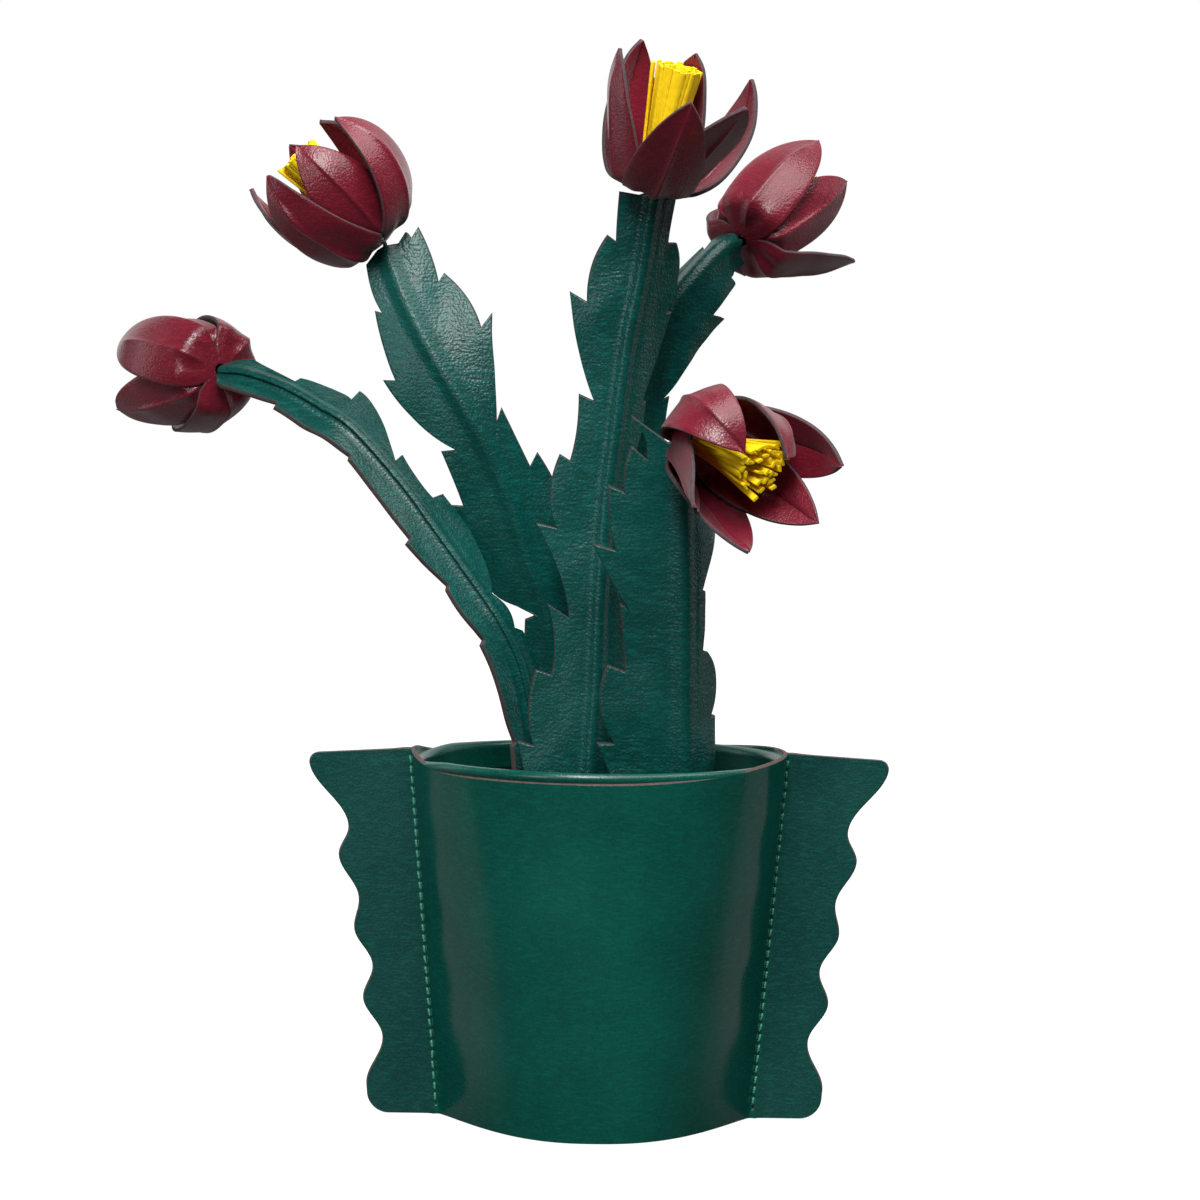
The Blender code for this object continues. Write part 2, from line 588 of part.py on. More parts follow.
def whorl(name, frame, turn, poses, form):
    """Three petals that leave one disc with a hole for the wire."""
    points, faces = [], []
    for k, pose in enumerate(poses):
        faces += petal_faces(len(points), len(PETAL_OUTLINE) + 1)
        points += petal_grid(turn + 120.0 * k, *pose, *form)
    placed = in_flower(frame, *np.array(points).T)
    petals = close_and_orient(mesh_object(name, placed, faces, PETAL_LEATHER))
    give_thickness(petals, PETAL_THICKNESS)


def fringe(name, frame):
    """The stamens: a strip slit into strands along its top and rolled up round the wire, its
    strands splayed the more the further out they lie."""
    inner = WIRE_RADIUS + CLEARANCE + FRINGE_THICKNESS / 2
    growth = FRINGE_PITCH / (2 * math.pi)
    full_turn = 2 * math.pi * FRINGE_TURNS
    strip = inner * full_turn + growth * full_turn ** 2 / 2

    def shape(along, height):
        turn = (np.sqrt(inner ** 2 + 2 * growth * along) - inner) / growth
        radius = inner + growth * turn
        free = np.clip(height - FRINGE_BAND, 0, None)
        radius = radius + FRINGE_SPLAY * free * radius / (inner + growth * full_turn)
        return in_flower(frame, radius, turn, FRINGE_FLOOR + height)

    pitch = strip / FRINGE_STRANDS
    gap = SLIT_SHARE * pitch
    top = []
    for k in range(FRINGE_STRANDS):
        start = k * pitch
        tip = FRINGE_HEIGHT - STRAND_VARIATION * math.sin(2.3 * k)
        top += [(start + gap / 2, FRINGE_BAND), (start + gap / 2, tip),
                (start + pitch - gap / 2, tip), (start + pitch - gap / 2, FRINGE_BAND)]
    low = [(x, 0.0) for x in np.linspace(0, strip, 2 * FRINGE_STRANDS + 1)]
    outline = low + [(strip, FRINGE_BAND)] + top[::-1] + [(0.0, FRINGE_BAND)]
    cut_sheet(name, outline, [], [], shape, FRINGE_THICKNESS, FRINGE_LEATHER)


def wire_path(crest, frame):
    """The wire from inside the block up the leaf's rib, straight out of it through the neck and
    round into the flower's base."""
    base, axis, _, _ = frame
    x, y, _ = crest[0]
    neck = crest[-1] + NECK_LENGTH * unit(crest[-1] - crest[-2])
    inside = [base + share * WIRE_IN_FLOWER * axis for share in (0.4, 1.0)]
    bend = catmull_rom([crest[-1], neck, base] + inside, 3)
    return np.vstack([(x, y, HOLE_FLOOR + CLEARANCE), crest, bend[3:]])


def build():
    for thing in list(bpy.data.objects):
        bpy.data.objects.remove(thing, do_unlink=True)

    for place, facing in (("front", -1), ("back", 1)):
        pot_panel("pot_%s_panel" % place, facing)
        for hand, side in (("left", -1), ("right", 1)):
            seam_thread("seam_thread_%s_%s" % (place, hand), facing, side)
    pot_lining()
    pot_inside("pot_base", 0.0, BASE_THICKNESS, POT_LEATHER)
    block = pot_inside("planting_block", BASE_THICKNESS + CLEARANCE, BLOCK_TOP, BLOCK_WOOD)
    cover_floor = BLOCK_TOP + CLEARANCE
    cover = pot_inside("block_cover", cover_floor, cover_floor + COVER_THICKNESS, POT_LEATHER)

    for number, (leaf_name, flower_name) in enumerate(zip(LEAVES, FLOWERS), start=1):
        spec = FLOWERS[flower_name]
        blade, crest = leaf(leaf_name, LEAVES[leaf_name])
        frame = flower_frame(spec["axis"], spec["offset"], crest)
        path = wire_path(crest, frame)
        tube("wire_%d" % number, path, WIRE_RADIUS, 6, STEEL_WIRE)
        beyond = crest[-1] + NECK_LENGTH * unit(crest[-1] - crest[-2])
        bore = np.vstack([path[0] - (0, 0, CLEARANCE), crest, beyond])
        channel = cutter(tube("channel_%d" % number, bore, CHANNEL_RADIUS, 6, STEEL_WIRE))
        for pierced in (blade, block, cover):
            cut(pierced, channel)
        whorl(flower_name + "_outer_petals", frame, spec["turn"], spec["outer"], OUTER_WHORL)
        whorl(flower_name + "_inner_petals", frame, spec["turn"] + 60.0, spec["inner"], INNER_WHORL)
        fringe(flower_name + "_stamens", frame)


build()
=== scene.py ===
import math

import bpy
import numpy as np
from mathutils import Matrix


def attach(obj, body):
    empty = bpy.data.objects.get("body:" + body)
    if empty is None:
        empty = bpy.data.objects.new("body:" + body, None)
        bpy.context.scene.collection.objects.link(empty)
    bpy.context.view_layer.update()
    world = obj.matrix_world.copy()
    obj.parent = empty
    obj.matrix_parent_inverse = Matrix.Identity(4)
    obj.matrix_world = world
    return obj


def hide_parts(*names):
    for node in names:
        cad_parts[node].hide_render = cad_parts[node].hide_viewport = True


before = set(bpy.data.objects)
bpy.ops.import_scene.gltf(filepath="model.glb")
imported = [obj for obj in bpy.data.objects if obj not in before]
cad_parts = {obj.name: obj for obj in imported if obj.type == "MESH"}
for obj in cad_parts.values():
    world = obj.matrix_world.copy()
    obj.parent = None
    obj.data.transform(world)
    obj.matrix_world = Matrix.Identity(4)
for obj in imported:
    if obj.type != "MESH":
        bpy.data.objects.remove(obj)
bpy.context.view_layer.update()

# A christmas cactus made of leather, in a sewn leather pot. Sizes below are in millimetres and
# angles in degrees, in the frame's axes: X right, Y away from the front, Z up.
MM = 0.001

# Camera: a long lens at table height, looking down a little, as a product photographer sets it
# up for a pot of this size. The frame is square.
EYE = (-0.5, -1800.0, 325.0)
LOOK_DOWN = math.radians(5.04)
ROLL = math.radians(0.85)
LENS = 170.16
look = np.array((0.0, math.cos(LOOK_DOWN), -math.sin(LOOK_DOWN)))
level_right = np.array((1.0, 0.0, 0.0))
level_up = np.cross(level_right, look)
camera_right = level_right * math.cos(ROLL) + level_up * math.sin(ROLL)
camera_up = level_up * math.cos(ROLL) - level_right * math.sin(ROLL)
camera_data = bpy.data.cameras.new("camera")
camera_data.lens = LENS
camera_data.sensor_width = 36.0
camera = bpy.data.objects.new("camera", camera_data)
turned = Matrix(np.column_stack([camera_right, camera_up, -look]).tolist()).to_4x4()
camera.matrix_world = Matrix.Translation([v * MM for v in EYE]) @ turned
bpy.context.scene.collection.objects.link(camera)
bpy.context.scene.camera = camera

# Light: narrow softboxes on either side, a wide one behind, one above, and two before the pot,
# high and low on the left, in a white room that gives little light of its own.
def softbox(name, place, target, width, height, watts):
    """A rectangular lamp at a place, turned to face a target."""
    lamp = bpy.data.lights.new(name, "AREA")
    lamp.shape = "RECTANGLE"
    lamp.size = width * MM
    lamp.size_y = height * MM
    lamp.energy = watts
    away = np.subtract(place, target)
    away = away / np.linalg.norm(away)
    side = np.cross((0.0, 0.0, 1.0), away)
    side = side / np.linalg.norm(side) if np.linalg.norm(side) > 1e-6 else np.array((1.0, 0.0, 0.0))
    body = bpy.data.objects.new(name, lamp)
    turn = Matrix(np.column_stack([side, np.cross(away, side), away]).tolist()).to_4x4()
    body.matrix_world = Matrix.Translation([v * MM for v in place]) @ turn
    body.visible_camera = False
    bpy.context.scene.collection.objects.link(body)


softbox("left_softbox", (-1150, 270, 420), (0, 0, 150), 300, 1300, 2.2)
softbox("right_softbox", (1140, 470, 380), (0, 0, 150), 180, 1200, 1.1)
softbox("top_softbox", (250, -150, 950), (0, 0, 250), 800, 700, 8.0)
softbox("front_softbox", (-150, -1200, 1400), (0, 0, 150), 380, 1000, 30.0)
softbox("low_softbox", (-900, -1300, 500), (0, 0, 150), 500, 500, 4.0)
softbox("back_softbox", (0, 1400, 700), (0, 0, 150), 2400, 1700, 10.0)


def set_inputs(tree, node, **inputs):
    """Gives a node's inputs their values; one that is another node's output is linked. An input
    goes by its name, or by n and its number."""
    for key, value in inputs.items():
        numbered = key[0] == "n" and key[1:].isdigit()
        socket = node.inputs[int(key[1:]) if numbered else key.replace("_", " ")]
        if isinstance(value, bpy.types.NodeSocket):
            tree.links.new(value, socket)
        else:
            socket.default_value = (*value, 1.0) if socket.type == "RGBA" else value


# The output that is used of the kinds of node where it isn't the first
USED_OUTPUT = {"TexCoord": "Object", "LightPath": "Is Camera Ray", "Attribute": "Fac", "TexWave": "Fac",
               "Mix": 2}


def add_node(tree, kind, settings=None, output=None, **inputs):
    """A shader node of a kind with its settings and inputs; returns its output."""
    node = tree.nodes.new("ShaderNode" + kind)
    for key, value in (settings or {}).items():
        setattr(node, key, value)
    set_inputs(tree, node, **inputs)
    return node.outputs[output or USED_OUTPUT.get(kind, 0)]


ROOM_SEEN = (1.0, 1.0, 1.0)
ROOM_LIGHT = (0.05, 0.05, 0.052)
room = bpy.data.worlds.new("white_room")
room.use_nodes = True
room_tree = room.node_tree
room_glow = room_tree.nodes["Background"]
set_inputs(room_tree, room_glow, Color=ROOM_LIGHT)
either = add_node(room_tree, "MixShader", n0=add_node(room_tree, "LightPath"), n1=room_glow.outputs[0],
                  n2=add_node(room_tree, "Background", Color=ROOM_SEEN))
set_inputs(room_tree, room_tree.nodes["World Output"], Surface=either)
bpy.context.scene.world = room
bpy.context.scene.view_settings.view_transform = "Standard"


# Floor: a white sheet lies under and behind the pot, on a dark table top that reaches towards the
# camera. The pot mirrors the sheet's front edge in two upright bands.
def grid_faces(rows, columns, first=0, around=False):
    """Four-sided faces of a grid of points, row by row; around joins the last column to the
    first."""
    row = np.arange(rows - 1)[:, None]
    column = np.arange(columns if around else columns - 1)[None, :]
    after = (column + 1) % columns
    corners = (row * columns + column, row * columns + after, (row + 1) * columns + after,
               (row + 1) * columns + column)
    return first + np.stack(corners, axis=-1).reshape(-1, 4)


def make_piece(name, points, faces, finishes, face_finish=None, layer=None, creased=180.0):
    """A mesh object from points in millimetres and faces with any number of corners. face_finish
    says which of the finishes each face has, layer says how far through its sheet each point
    lies, and edges sharper than the creased angle stay hard."""
    mesh = bpy.data.meshes.new(name)
    mesh.from_pydata((points * MM).tolist(), [], faces if isinstance(faces, list) else faces.tolist())
    for finish in finishes:
        mesh.materials.append(finish)
    if face_finish is not None:
        mesh.polygons.foreach_set("material_index", np.asarray(face_finish, dtype=np.int32))
    if layer is not None:
        mark = mesh.attributes.new("layer", "FLOAT", "POINT")
        mark.data.foreach_set("value", np.asarray(layer, dtype=np.float32))
    mesh.shade_smooth()
    if creased < 180.0:
        mesh.set_sharp_from_angle(angle=math.radians(creased))
    mesh.update()
    thing = bpy.data.objects.new(name, mesh)
    bpy.context.scene.collection.objects.link(thing)
    return thing


def map_range(tree, value, low, high, first=0.0, last=1.0):
    """A number from first to last, by where a value lies between low and high."""
    return add_node(tree, "MapRange", Value=value, From_Min=low, From_Max=high, To_Min=first, To_Max=last)


def plain_finish(name, colour, roughness):
    """A finish whose shader inputs are given directly; returns it with its node tree and shader."""
    finish = bpy.data.materials.new(name)
    finish.use_nodes = True
    shader = finish.node_tree.nodes["Principled BSDF"]
    set_inputs(finish.node_tree, shader, Base_Color=colour, Roughness=roughness)
    return finish, finish.node_tree, shader


TABLE_SIDE = 8000.0
TABLE_LEVEL = -0.05
# How white the table top and the sheet are, between which distances behind the pot's middle the
# one turns into the other, and how far the sheet's edge comes forward per length to the left
TABLE_WHITENESS = 0.025
SHEET_WHITENESS = 0.16
SHEET_EDGE = (-30.0, 15.0)
SHEET_SLANT = -0.12
table_finish, table_tree, table_shader = plain_finish("white_table", (SHEET_WHITENESS,) * 3, 1.0)
across = add_node(table_tree, "SeparateXYZ", Vector=add_node(table_tree, "TexCoord"))
slanted = add_node(table_tree, "Math", {"operation": "MULTIPLY_ADD"}, n0=across, n1=SHEET_SLANT,
                   n2=across.node.outputs["Y"])
sheet = map_range(table_tree, slanted, SHEET_EDGE[0] * MM, SHEET_EDGE[1] * MM, TABLE_WHITENESS,
                  SHEET_WHITENESS)
set_inputs(table_tree, table_shader, Base_Color=sheet, Emission_Color=ROOM_SEEN,
           Emission_Strength=add_node(table_tree, "LightPath"))
across_table = np.linspace(-TABLE_SIDE / 2, TABLE_SIDE / 2, 9)
table_points = np.stack(np.meshgrid(across_table, across_table), axis=-1).reshape(-1, 2)
table_points = np.column_stack([table_points, np.full(len(table_points), TABLE_LEVEL)])
table = make_piece("table_top", table_points, grid_faces(9, 9), [table_finish])


# Pot panels: the front and the back are each cut in one piece from 1.3 mm green leather, with a
# half of both wings, bent to the pot's oval and sewn through both layers down the side seams.
# The cut edges are left raw.
RIM_HALF_WIDTH = 59.4
FOOT_HALF_WIDTH = 49.4
RIM_DEPTH = 55.0
FOOT_DEPTH = 49.5
FOOT_FULLNESS = 2.4
FOOT_SLACKNESS = 1.2
POT_HEIGHT = 118.0
RIM_DIP = 4.5
PANEL_FOOT = 0.3
PANEL_THICKNESS = 1.38
PANEL_MIDDLE = 0.73
FOLD_LENGTH = 2.2
BODY_ARC = 88.5
WING_SPAN = 33.0
WING_TOP_SLOPE = 0.058
WING_CORNERS = (6.0, 3.2)
# Heights of the wing's bumps and notches, and how far each stands out from the seam
WING_EDGE = (
    (0.3, 22.6), (9.3, 22.6), (24.8, 16.3), (37.0, 21.6), (47.6, 17.8),
    (59.5, 22.8), (69.2, 20.6), (83.0, 26.0), (92.3, 22.2), (113.5, 33.2), (118.0, 33.6),
)
STITCH_INSET = 1.1
STITCH_PITCH = 3.4
POT_GREEN = (0.0018, 0.108, 0.079)
POT_GREEN_SHADE = (0.0010, 0.084, 0.061)
WING_GREEN = (0.003, 0.084, 0.069)
WING_GREEN_SHADE = (0.002, 0.066, 0.056)
EDGE_BROWN = (0.105, 0.072, 0.066)
EDGE_PALE = (0.30, 0.27, 0.25)


def ripple(seed, s, w, length, height):
    """Gentle unevenness of a worked sheet: a sum of six long sine waves across s and w, with
    directions and phases drawn from the seed."""
    draw = np.random.default_rng(seed)
    total = 0.0
    for k in range(6):
        heading = draw.uniform(0, math.pi)
        wave = length * draw.uniform(0.5, 1.4)
        phase = draw.uniform(0, 2 * math.pi)
        along = s * math.cos(heading) + w * math.sin(heading)
        total = total + np.sin(along * 2 * math.pi / wave + phase)
    return height * total / 2.5


def smooth(x):
    """Rises from 0 to 1 between x = 0 and x = 1 with level ends."""
    x = np.clip(x, 0.0, 1.0)
    return x * x * (3 - 2 * x)


def lengthen(rows):
    """Vectors scaled to length 1."""
    return rows / np.maximum(np.linalg.norm(rows, axis=-1, keepdims=True), 1e-9)


def face_normals(middle):
    """Normals of a surface given as a grid of points: across its rows, then along them."""
    return lengthen(np.cross(np.gradient(middle, axis=1), np.gradient(middle, axis=0)))


# A cut edge's outline from the front face to the back: height as a share of half the sheet's
# thickness, and how far it stands out
CUT_EDGE = ((0.86, 0.10), (0.45, 0.16), (0.0, 0.17), (-0.45, 0.16), (-0.86, 0.10))
PARED_EDGE = ((0.86, 0.08), (0.45, 0.20), (0.0, 0.30), (-0.45, 0.38), (-0.86, 0.42))


def leather_sheet(middle, normal, front, back, kind=0, bevel=None, cut=CUT_EDGE):
    """A sheet with two faces and a raw edge all round, as points, faces, the finish of each face
    and the layer of each point. middle is a grid of points; front and back are the faces'
    distances from it along the normal, and kind is their finish. The edge has finish 1 and
    follows the outline cut. bevel lowers chosen points of the front face's border along it."""
    rows, columns = middle.shape[:2]
    top = middle + normal * np.broadcast_to(front, (rows, columns))[..., None]
    low = middle - normal * np.broadcast_to(back, (rows, columns))[..., None]
    r, c = np.arange(rows), np.arange(columns)
    ring_r = np.concatenate([np.zeros(columns - 1, int), r[:-1], np.full(columns - 1, rows - 1), r[:0:-1]])
    ring_c = np.concatenate([c[:-1], np.full(rows - 1, columns - 1), c[:0:-1], np.zeros(rows - 1, int)])
    inner_r, inner_c = np.clip(ring_r, 1, rows - 2), np.clip(ring_c, 1, columns - 2)
    out = middle[ring_r, ring_c] - middle[inner_r, inner_c]
    facing = normal[ring_r, ring_c]
    out = lengthen(out - facing * np.sum(out * facing, axis=1, keepdims=True))
    a, b = top[ring_r, ring_c], low[ring_r, ring_c]
    rings = [(a + b) / 2 + (a - b) / 2 * share + out * stand for share, stand in cut]
    if bevel is not None:
        rings = [ring + bevel(ring_r, ring_c, k / (len(rings) - 1)) for k, ring in enumerate(rings)]
    count = rows * columns
    size = len(ring_r)
    points = np.vstack([top.reshape(-1, 3), low.reshape(-1, 3)] + rings)
    ring_index = [ring_r * columns + ring_c]
    ring_index += [2 * count + k * size + np.arange(size) for k in range(len(cut))]
    ring_index.append(count + ring_r * columns + ring_c)
    edge_faces = [np.column_stack([upper, lower, np.roll(lower, -1), np.roll(upper, -1)])
                  for upper, lower in zip(ring_index, ring_index[1:])]
    faces = np.vstack([grid_faces(rows, columns), grid_faces(rows, columns, count)[:, ::-1]] + edge_faces)
    kinds = np.broadcast_to(kind, (rows - 1, columns - 1)).ravel()
    kinds = np.concatenate([kinds, kinds, np.ones(size * (len(cut) + 1))])
    layer = np.concatenate([np.ones(count), -np.ones(count)] + [np.full(size, share) for share, _ in cut])
    return points, faces, kinds, layer


def sheet_piece(name, finishes, *sheets):
    """One piece made of the sheets that leather_sheet gives."""
    points, faces, kinds, layers = zip(*sheets)
    starts = np.cumsum([0] + [len(part) for part in points[:-1]])
    faces = np.vstack([part + start for part, start in zip(faces, starts)])
    return make_piece(name, np.vstack(points), faces, finishes, np.concatenate(kinds), np.concatenate(layers))


def blend_colour(tree, share, first, second):
    """A colour between two, by a share that a node gives."""
    return add_node(tree, "Mix", {"data_type": "RGBA"}, n0=share, n6=first, n7=second)


def raised(tree, height, depth, strength=1.0, invert=False):
    """Relief of a depth, from the height that a node gives."""
    return add_node(tree, "Bump", {"invert": invert}, Height=height, Distance=depth * MM, Strength=strength)


def leather_finish(name, colour, shade, roughness, shine, grain, crease, wrinkle, depth, glint_strokes):
    """Dyed grain leather with a satin finish. Its relief is the weighted sum of a field of
    rounded pebbles, short creases, level wrinkles and a fine noise; grain and wrinkle are a size
    and a weight each. The dye varies over the hide. The colour is darkened in the hollows of the
    relief as painted shade, and lightened in short level strokes along the wrinkles as painted
    glints."""
    finish, tree, shader = plain_finish(name, colour, roughness)

    def weighted(value, weight, rest):
        """A relief times its weight, on top of the rest."""
        return add_node(tree, "Math", {"operation": "MULTIPLY_ADD"}, n0=value, n1=weight, n2=rest)

    place = add_node(tree, "TexCoord")
    bend = add_node(tree, "TexNoise", output="Color", Vector=place, Scale=180.0, Detail=2.0)
    bent = add_node(tree, "VectorMath", {"operation": "MULTIPLY_ADD"}, n0=bend, n1=(0.0014,) * 3, n2=place)
    pebbles = add_node(tree, "TexVoronoi", {"feature": "SMOOTH_F1"}, Vector=bent, Scale=1 / (grain[0] * MM),
                       Smoothness=0.35)
    stretched = add_node(tree, "Mapping", Vector=bent, Scale=(0.45, 0.45, 1.7))
    creases = add_node(tree, "TexNoise", {"noise_type": "RIDGED_MULTIFRACTAL"}, Vector=stretched,
                       Scale=1 / (crease * MM), Detail=3.0, Roughness=0.6)
    drawn = add_node(tree, "Mapping", Vector=bent, Scale=(0.22, 0.22, 1.0))
    wrinkles = add_node(tree, "TexNoise", Vector=drawn, Scale=1 / (wrinkle[0] * MM), Detail=2.0)
    fine = add_node(tree, "TexNoise", Vector=place, Scale=2600.0, Detail=2.0)
    hollows = weighted(creases, -0.42, weighted(pebbles, grain[1], 0.0))
    relief = weighted(fine, 0.22, weighted(wrinkles, wrinkle[1], hollows))
    slow = add_node(tree, "TexNoise", Vector=place, Scale=26.0, Detail=4.0, Roughness=0.6)
    dyed = blend_colour(tree, map_range(tree, slow, 0.36, 0.64), shade, colour)
    # Painted shade: the colour is darkened in the hollows of the relief, so the ridges look lit.
    shaded_in_hollows = add_node(tree, "VectorMath", {"operation": "SCALE"}, Vector=dyed,
                        Scale=map_range(tree, hollows, -0.1, 0.4, 1.0, 0.66))
    # Painted glints: the colour is lightened towards pale in short level strokes along the wrinkles.
    painted_glints = map_range(tree, wrinkles, 0.48, 0.34, 0.0, glint_strokes)
    pale = tuple(1.5 * part for part in colour)
    set_inputs(tree, shader, Base_Color=blend_colour(tree, painted_glints, shaded_in_hollows, pale), Specular_IOR_Level=shine,
               Roughness=map_range(tree, slow, 0.3, 0.7, roughness - 0.05, roughness + 0.05),
               Normal=raised(tree, relief, depth, invert=True))
    return finish


def cut_edge_finish(name, dark, pale, pale_layer):
    """The raw edge of bonded leather: fibres of a dark and a pale layer, split by the mark that
    says how far through the sheet a point lies."""
    finish, tree, shader = plain_finish(name, dark, 0.85)
    place = add_node(tree, "TexCoord")
    fibres = add_node(tree, "TexNoise", Vector=place, Scale=900.0, Detail=4.0, Roughness=0.7)
    wander = add_node(tree, "Math", {"operation": "MULTIPLY_ADD"}, n0=fibres, n1=0.5,
                      n2=add_node(tree, "Attribute", {"attribute_name": "layer"}))
    band = map_range(tree, wander, pale_layer + 0.05, pale_layer + 0.45, 0.75, 0.0)
    layers = blend_colour(tree, band, dark, pale)
    mottled = add_node(tree, "VectorMath", {"operation": "SCALE"}, Vector=layers,
                       Scale=map_range(tree, fibres, 0.3, 0.7, 0.6, 1.15))
    set_inputs(tree, shader, Base_Color=mottled, Normal=raised(tree, fibres, 0.2))
    return finish


# In each leather finish the strokes are painted glints and the hollows get painted shade.
pot_leather = leather_finish("pot_leather", POT_GREEN, POT_GREEN_SHADE, roughness=0.17, shine=0.5,
                             grain=(0.75, 0.4), crease=1.8, wrinkle=(0.8, 1.0), depth=0.022, glint_strokes=0.2)
wing_leather = leather_finish("wing_leather", WING_GREEN, WING_GREEN_SHADE, roughness=0.38, shine=0.42,
                              grain=(0.8, 0.8), crease=1.8, wrinkle=(0.8, 0.7), depth=0.085, glint_strokes=0.3)
pot_edge = cut_edge_finish("pot_cut_edge", EDGE_BROWN, EDGE_PALE, -0.9)


def half_width(z):
    """Half the pot's width between its seams, which widens evenly from foot to rim."""
    return FOOT_HALF_WIDTH + (RIM_HALF_WIDTH - FOOT_HALF_WIDTH) * z / POT_HEIGHT


def stand_out(z, arc):
    """How far a panel stands out from the seams: an ellipse at the rim, a slacker curve at the
    foot, and straight lines between the two."""
    q = np.abs(np.sin(np.radians(arc)))
    rim = RIM_DEPTH * np.sqrt(np.clip(1 - q ** 2, 0, 1))
    foot = FOOT_DEPTH * np.clip(1 - q ** FOOT_FULLNESS, 0, 1) ** FOOT_SLACKNESS
    return foot + (rim - foot) * z / POT_HEIGHT


def rim_line(arc):
    """Height of the panel's top: level along the front, rising to the seams, late on the left
    and early on the right."""
    q = np.sin(np.radians(arc))
    rise = np.where(q > 0, np.abs(q) ** 2.2, np.abs(q) ** 12.0)
    return POT_HEIGHT - RIM_DIP * (1 - rise)


def wing_reach(z, top):
    """How far the wing's scalloped edge stands out from the seam: half cosine waves from bump to
    notch, with both corners rounded."""
    heights, reaches = np.array(WING_EDGE).T
    k = np.clip(np.searchsorted(heights, z, side="right") - 1, 0, len(heights) - 2)
    t = np.clip((z - heights[k]) / (heights[k + 1] - heights[k]), 0, 1)
    reach = reaches[k] + (reaches[k + 1] - reaches[k]) * (1 - np.cos(math.pi * t)) / 2
    for radius, gap in zip(WING_CORNERS, (z - PANEL_FOOT, top - z)):
        cut = 1 - np.clip(gap / radius, 0, 1)
        reach = reach - radius * (1 - np.sqrt(1 - cut ** 2))
    return reach


def pot_panel(name, facing):
    """A panel with its half of both wings; facing is -1 for the front and 1 for the back. Its
    plan runs from one wing's edge over the seams and round the body, and every seam has a small
    rounded fold: a quadratic curve from FOLD_LENGTH before it to FOLD_LENGTH behind it."""
    levels = np.unique(np.concatenate([np.linspace(0, 1, 130), 0.06 * np.linspace(0, 1, 14) ** 2,
                                       1 - 0.05 * np.linspace(0, 1, 12) ** 2]))[:, None]
    body = np.linspace(-BODY_ARC, BODY_ARC, 121)
    t = np.linspace(0, 1, 8)[None, 1:-1, None]
    share = np.concatenate([np.linspace(0.0, 0.9, 16), [0.94, 0.97, 0.99, 1.0]])[None, :]
    wing_top = POT_HEIGHT - WING_TOP_SLOPE * WING_SPAN
    wing_z = PANEL_FOOT + (wing_top - PANEL_FOOT) * levels
    out = FOLD_LENGTH + (wing_reach(wing_z, wing_top) - FOLD_LENGTH) * share
    wing_z = wing_z + WING_TOP_SLOPE * (WING_SPAN - out) * levels
    columns = []
    for side, arcs in ((-1, body[body < 0]), (1, body[body >= 0])):
        wing = np.stack([side * (half_width(wing_z) + out), 0 * wing_z, wing_z], axis=-1)
        body_z = PANEL_FOOT + (rim_line(arcs)[None, :] - PANEL_FOOT) * levels
        body_x = half_width(body_z) * np.sin(np.radians(arcs))[None, :]
        bodies = np.stack([body_x, stand_out(body_z, arcs[None, :]), body_z], axis=-1)
        seam_side = bodies[:, -1:] if side > 0 else bodies[:, :1]
        corner = wing[:, :1].copy()
        corner[..., 0] = side * half_width(corner[..., 2])
        folds = (1 - t) ** 2 * seam_side + 2 * t * (1 - t) * corner + t ** 2 * wing[:, :1]
        columns += [bodies, folds, wing] if side > 0 else [wing[:, ::-1], folds[:, ::-1], bodies]
    middle = np.concatenate(columns, axis=1)
    flatness = np.repeat((1.0, 0.5, 0.0, 0.0, 0.5, 1.0), [part.shape[1] for part in columns])
    x, depth, height = middle[..., 0], middle[..., 1], middle[..., 2]
    on_seam = (np.abs(x) - half_width(height) - STITCH_INSET) / 0.9
    groove = -0.22 * np.exp(-on_seam ** 2) * (0.8 + 0.4 * np.cos(height * 2 * math.pi / STITCH_PITCH))
    wave = ripple(3 if facing < 0 else 4, height, x, 70.0, 0.16) * (1 - flatness)
    middle[..., 1] = facing * (PANEL_MIDDLE + depth + wave + groove)
    normal = face_normals(middle)
    if facing > 0:
        middle, normal, flatness = middle[:, ::-1], -normal[:, ::-1], flatness[::-1]
    is_body = (np.abs(middle[-1, :, 0]) < half_width(POT_HEIGHT) - 1.0) * 1.0

    def skive(r, c, share):
        """The rim's front corner is pared down so that the raw edge faces up and out."""
        drop = -0.55 * (1 - share) * is_body[c] * (r == len(levels) - 1)
        return np.column_stack([0 * drop, 0 * drop, drop])

    half = PANEL_THICKNESS / 2
    kind = np.where(flatness[:-1] > 0.75, 2, 0)
    return sheet_piece(name, [pot_leather, pot_edge, wing_leather],
                       leather_sheet(middle, normal, half, half, kind, skive, PARED_EDGE))


for place, facing in (("front", -1), ("back", 1)):
    panel = pot_panel("%s_panel" % place, facing)
    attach(panel, "root")
    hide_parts("pot_%s_panel" % place)


# Seam stitches: waxed thread, saddle stitched by hand through both panels beside each fold. A
# stitch is a short slanting bar that dives into an awl hole at either end.
STITCH_LENGTH = 2.75
STITCH_RADIUS = 0.40
STITCH_ENDS = (4.0, 115.0)
STITCH_RINGS = 9
RING_POINTS = 8
HOLE_SIZE = (0.38, 0.55)
THREAD_GREEN = (0.085, 0.38, 0.27)
THREAD_SHADE = (0.045, 0.22, 0.155)


def tinted_finish(name, first, second, roughness, scale, detail=2.0, stretch=None, relief=0.0):
    """A finish whose colour wanders between two by a noise, which may be stretched and raised;
    returns it with its node tree and shader."""
    finish, tree, shader = plain_finish(name, first, roughness)
    place = add_node(tree, "TexCoord")
    if stretch:
        place = add_node(tree, "Mapping", Vector=place, Scale=stretch)
    noise = add_node(tree, "TexNoise", Vector=place, Scale=scale, Detail=detail)
    set_inputs(tree, shader, Base_Color=blend_colour(tree, noise, first, second))
    if relief:
        set_inputs(tree, shader, Normal=raised(tree, noise, relief))
    return finish, tree, shader


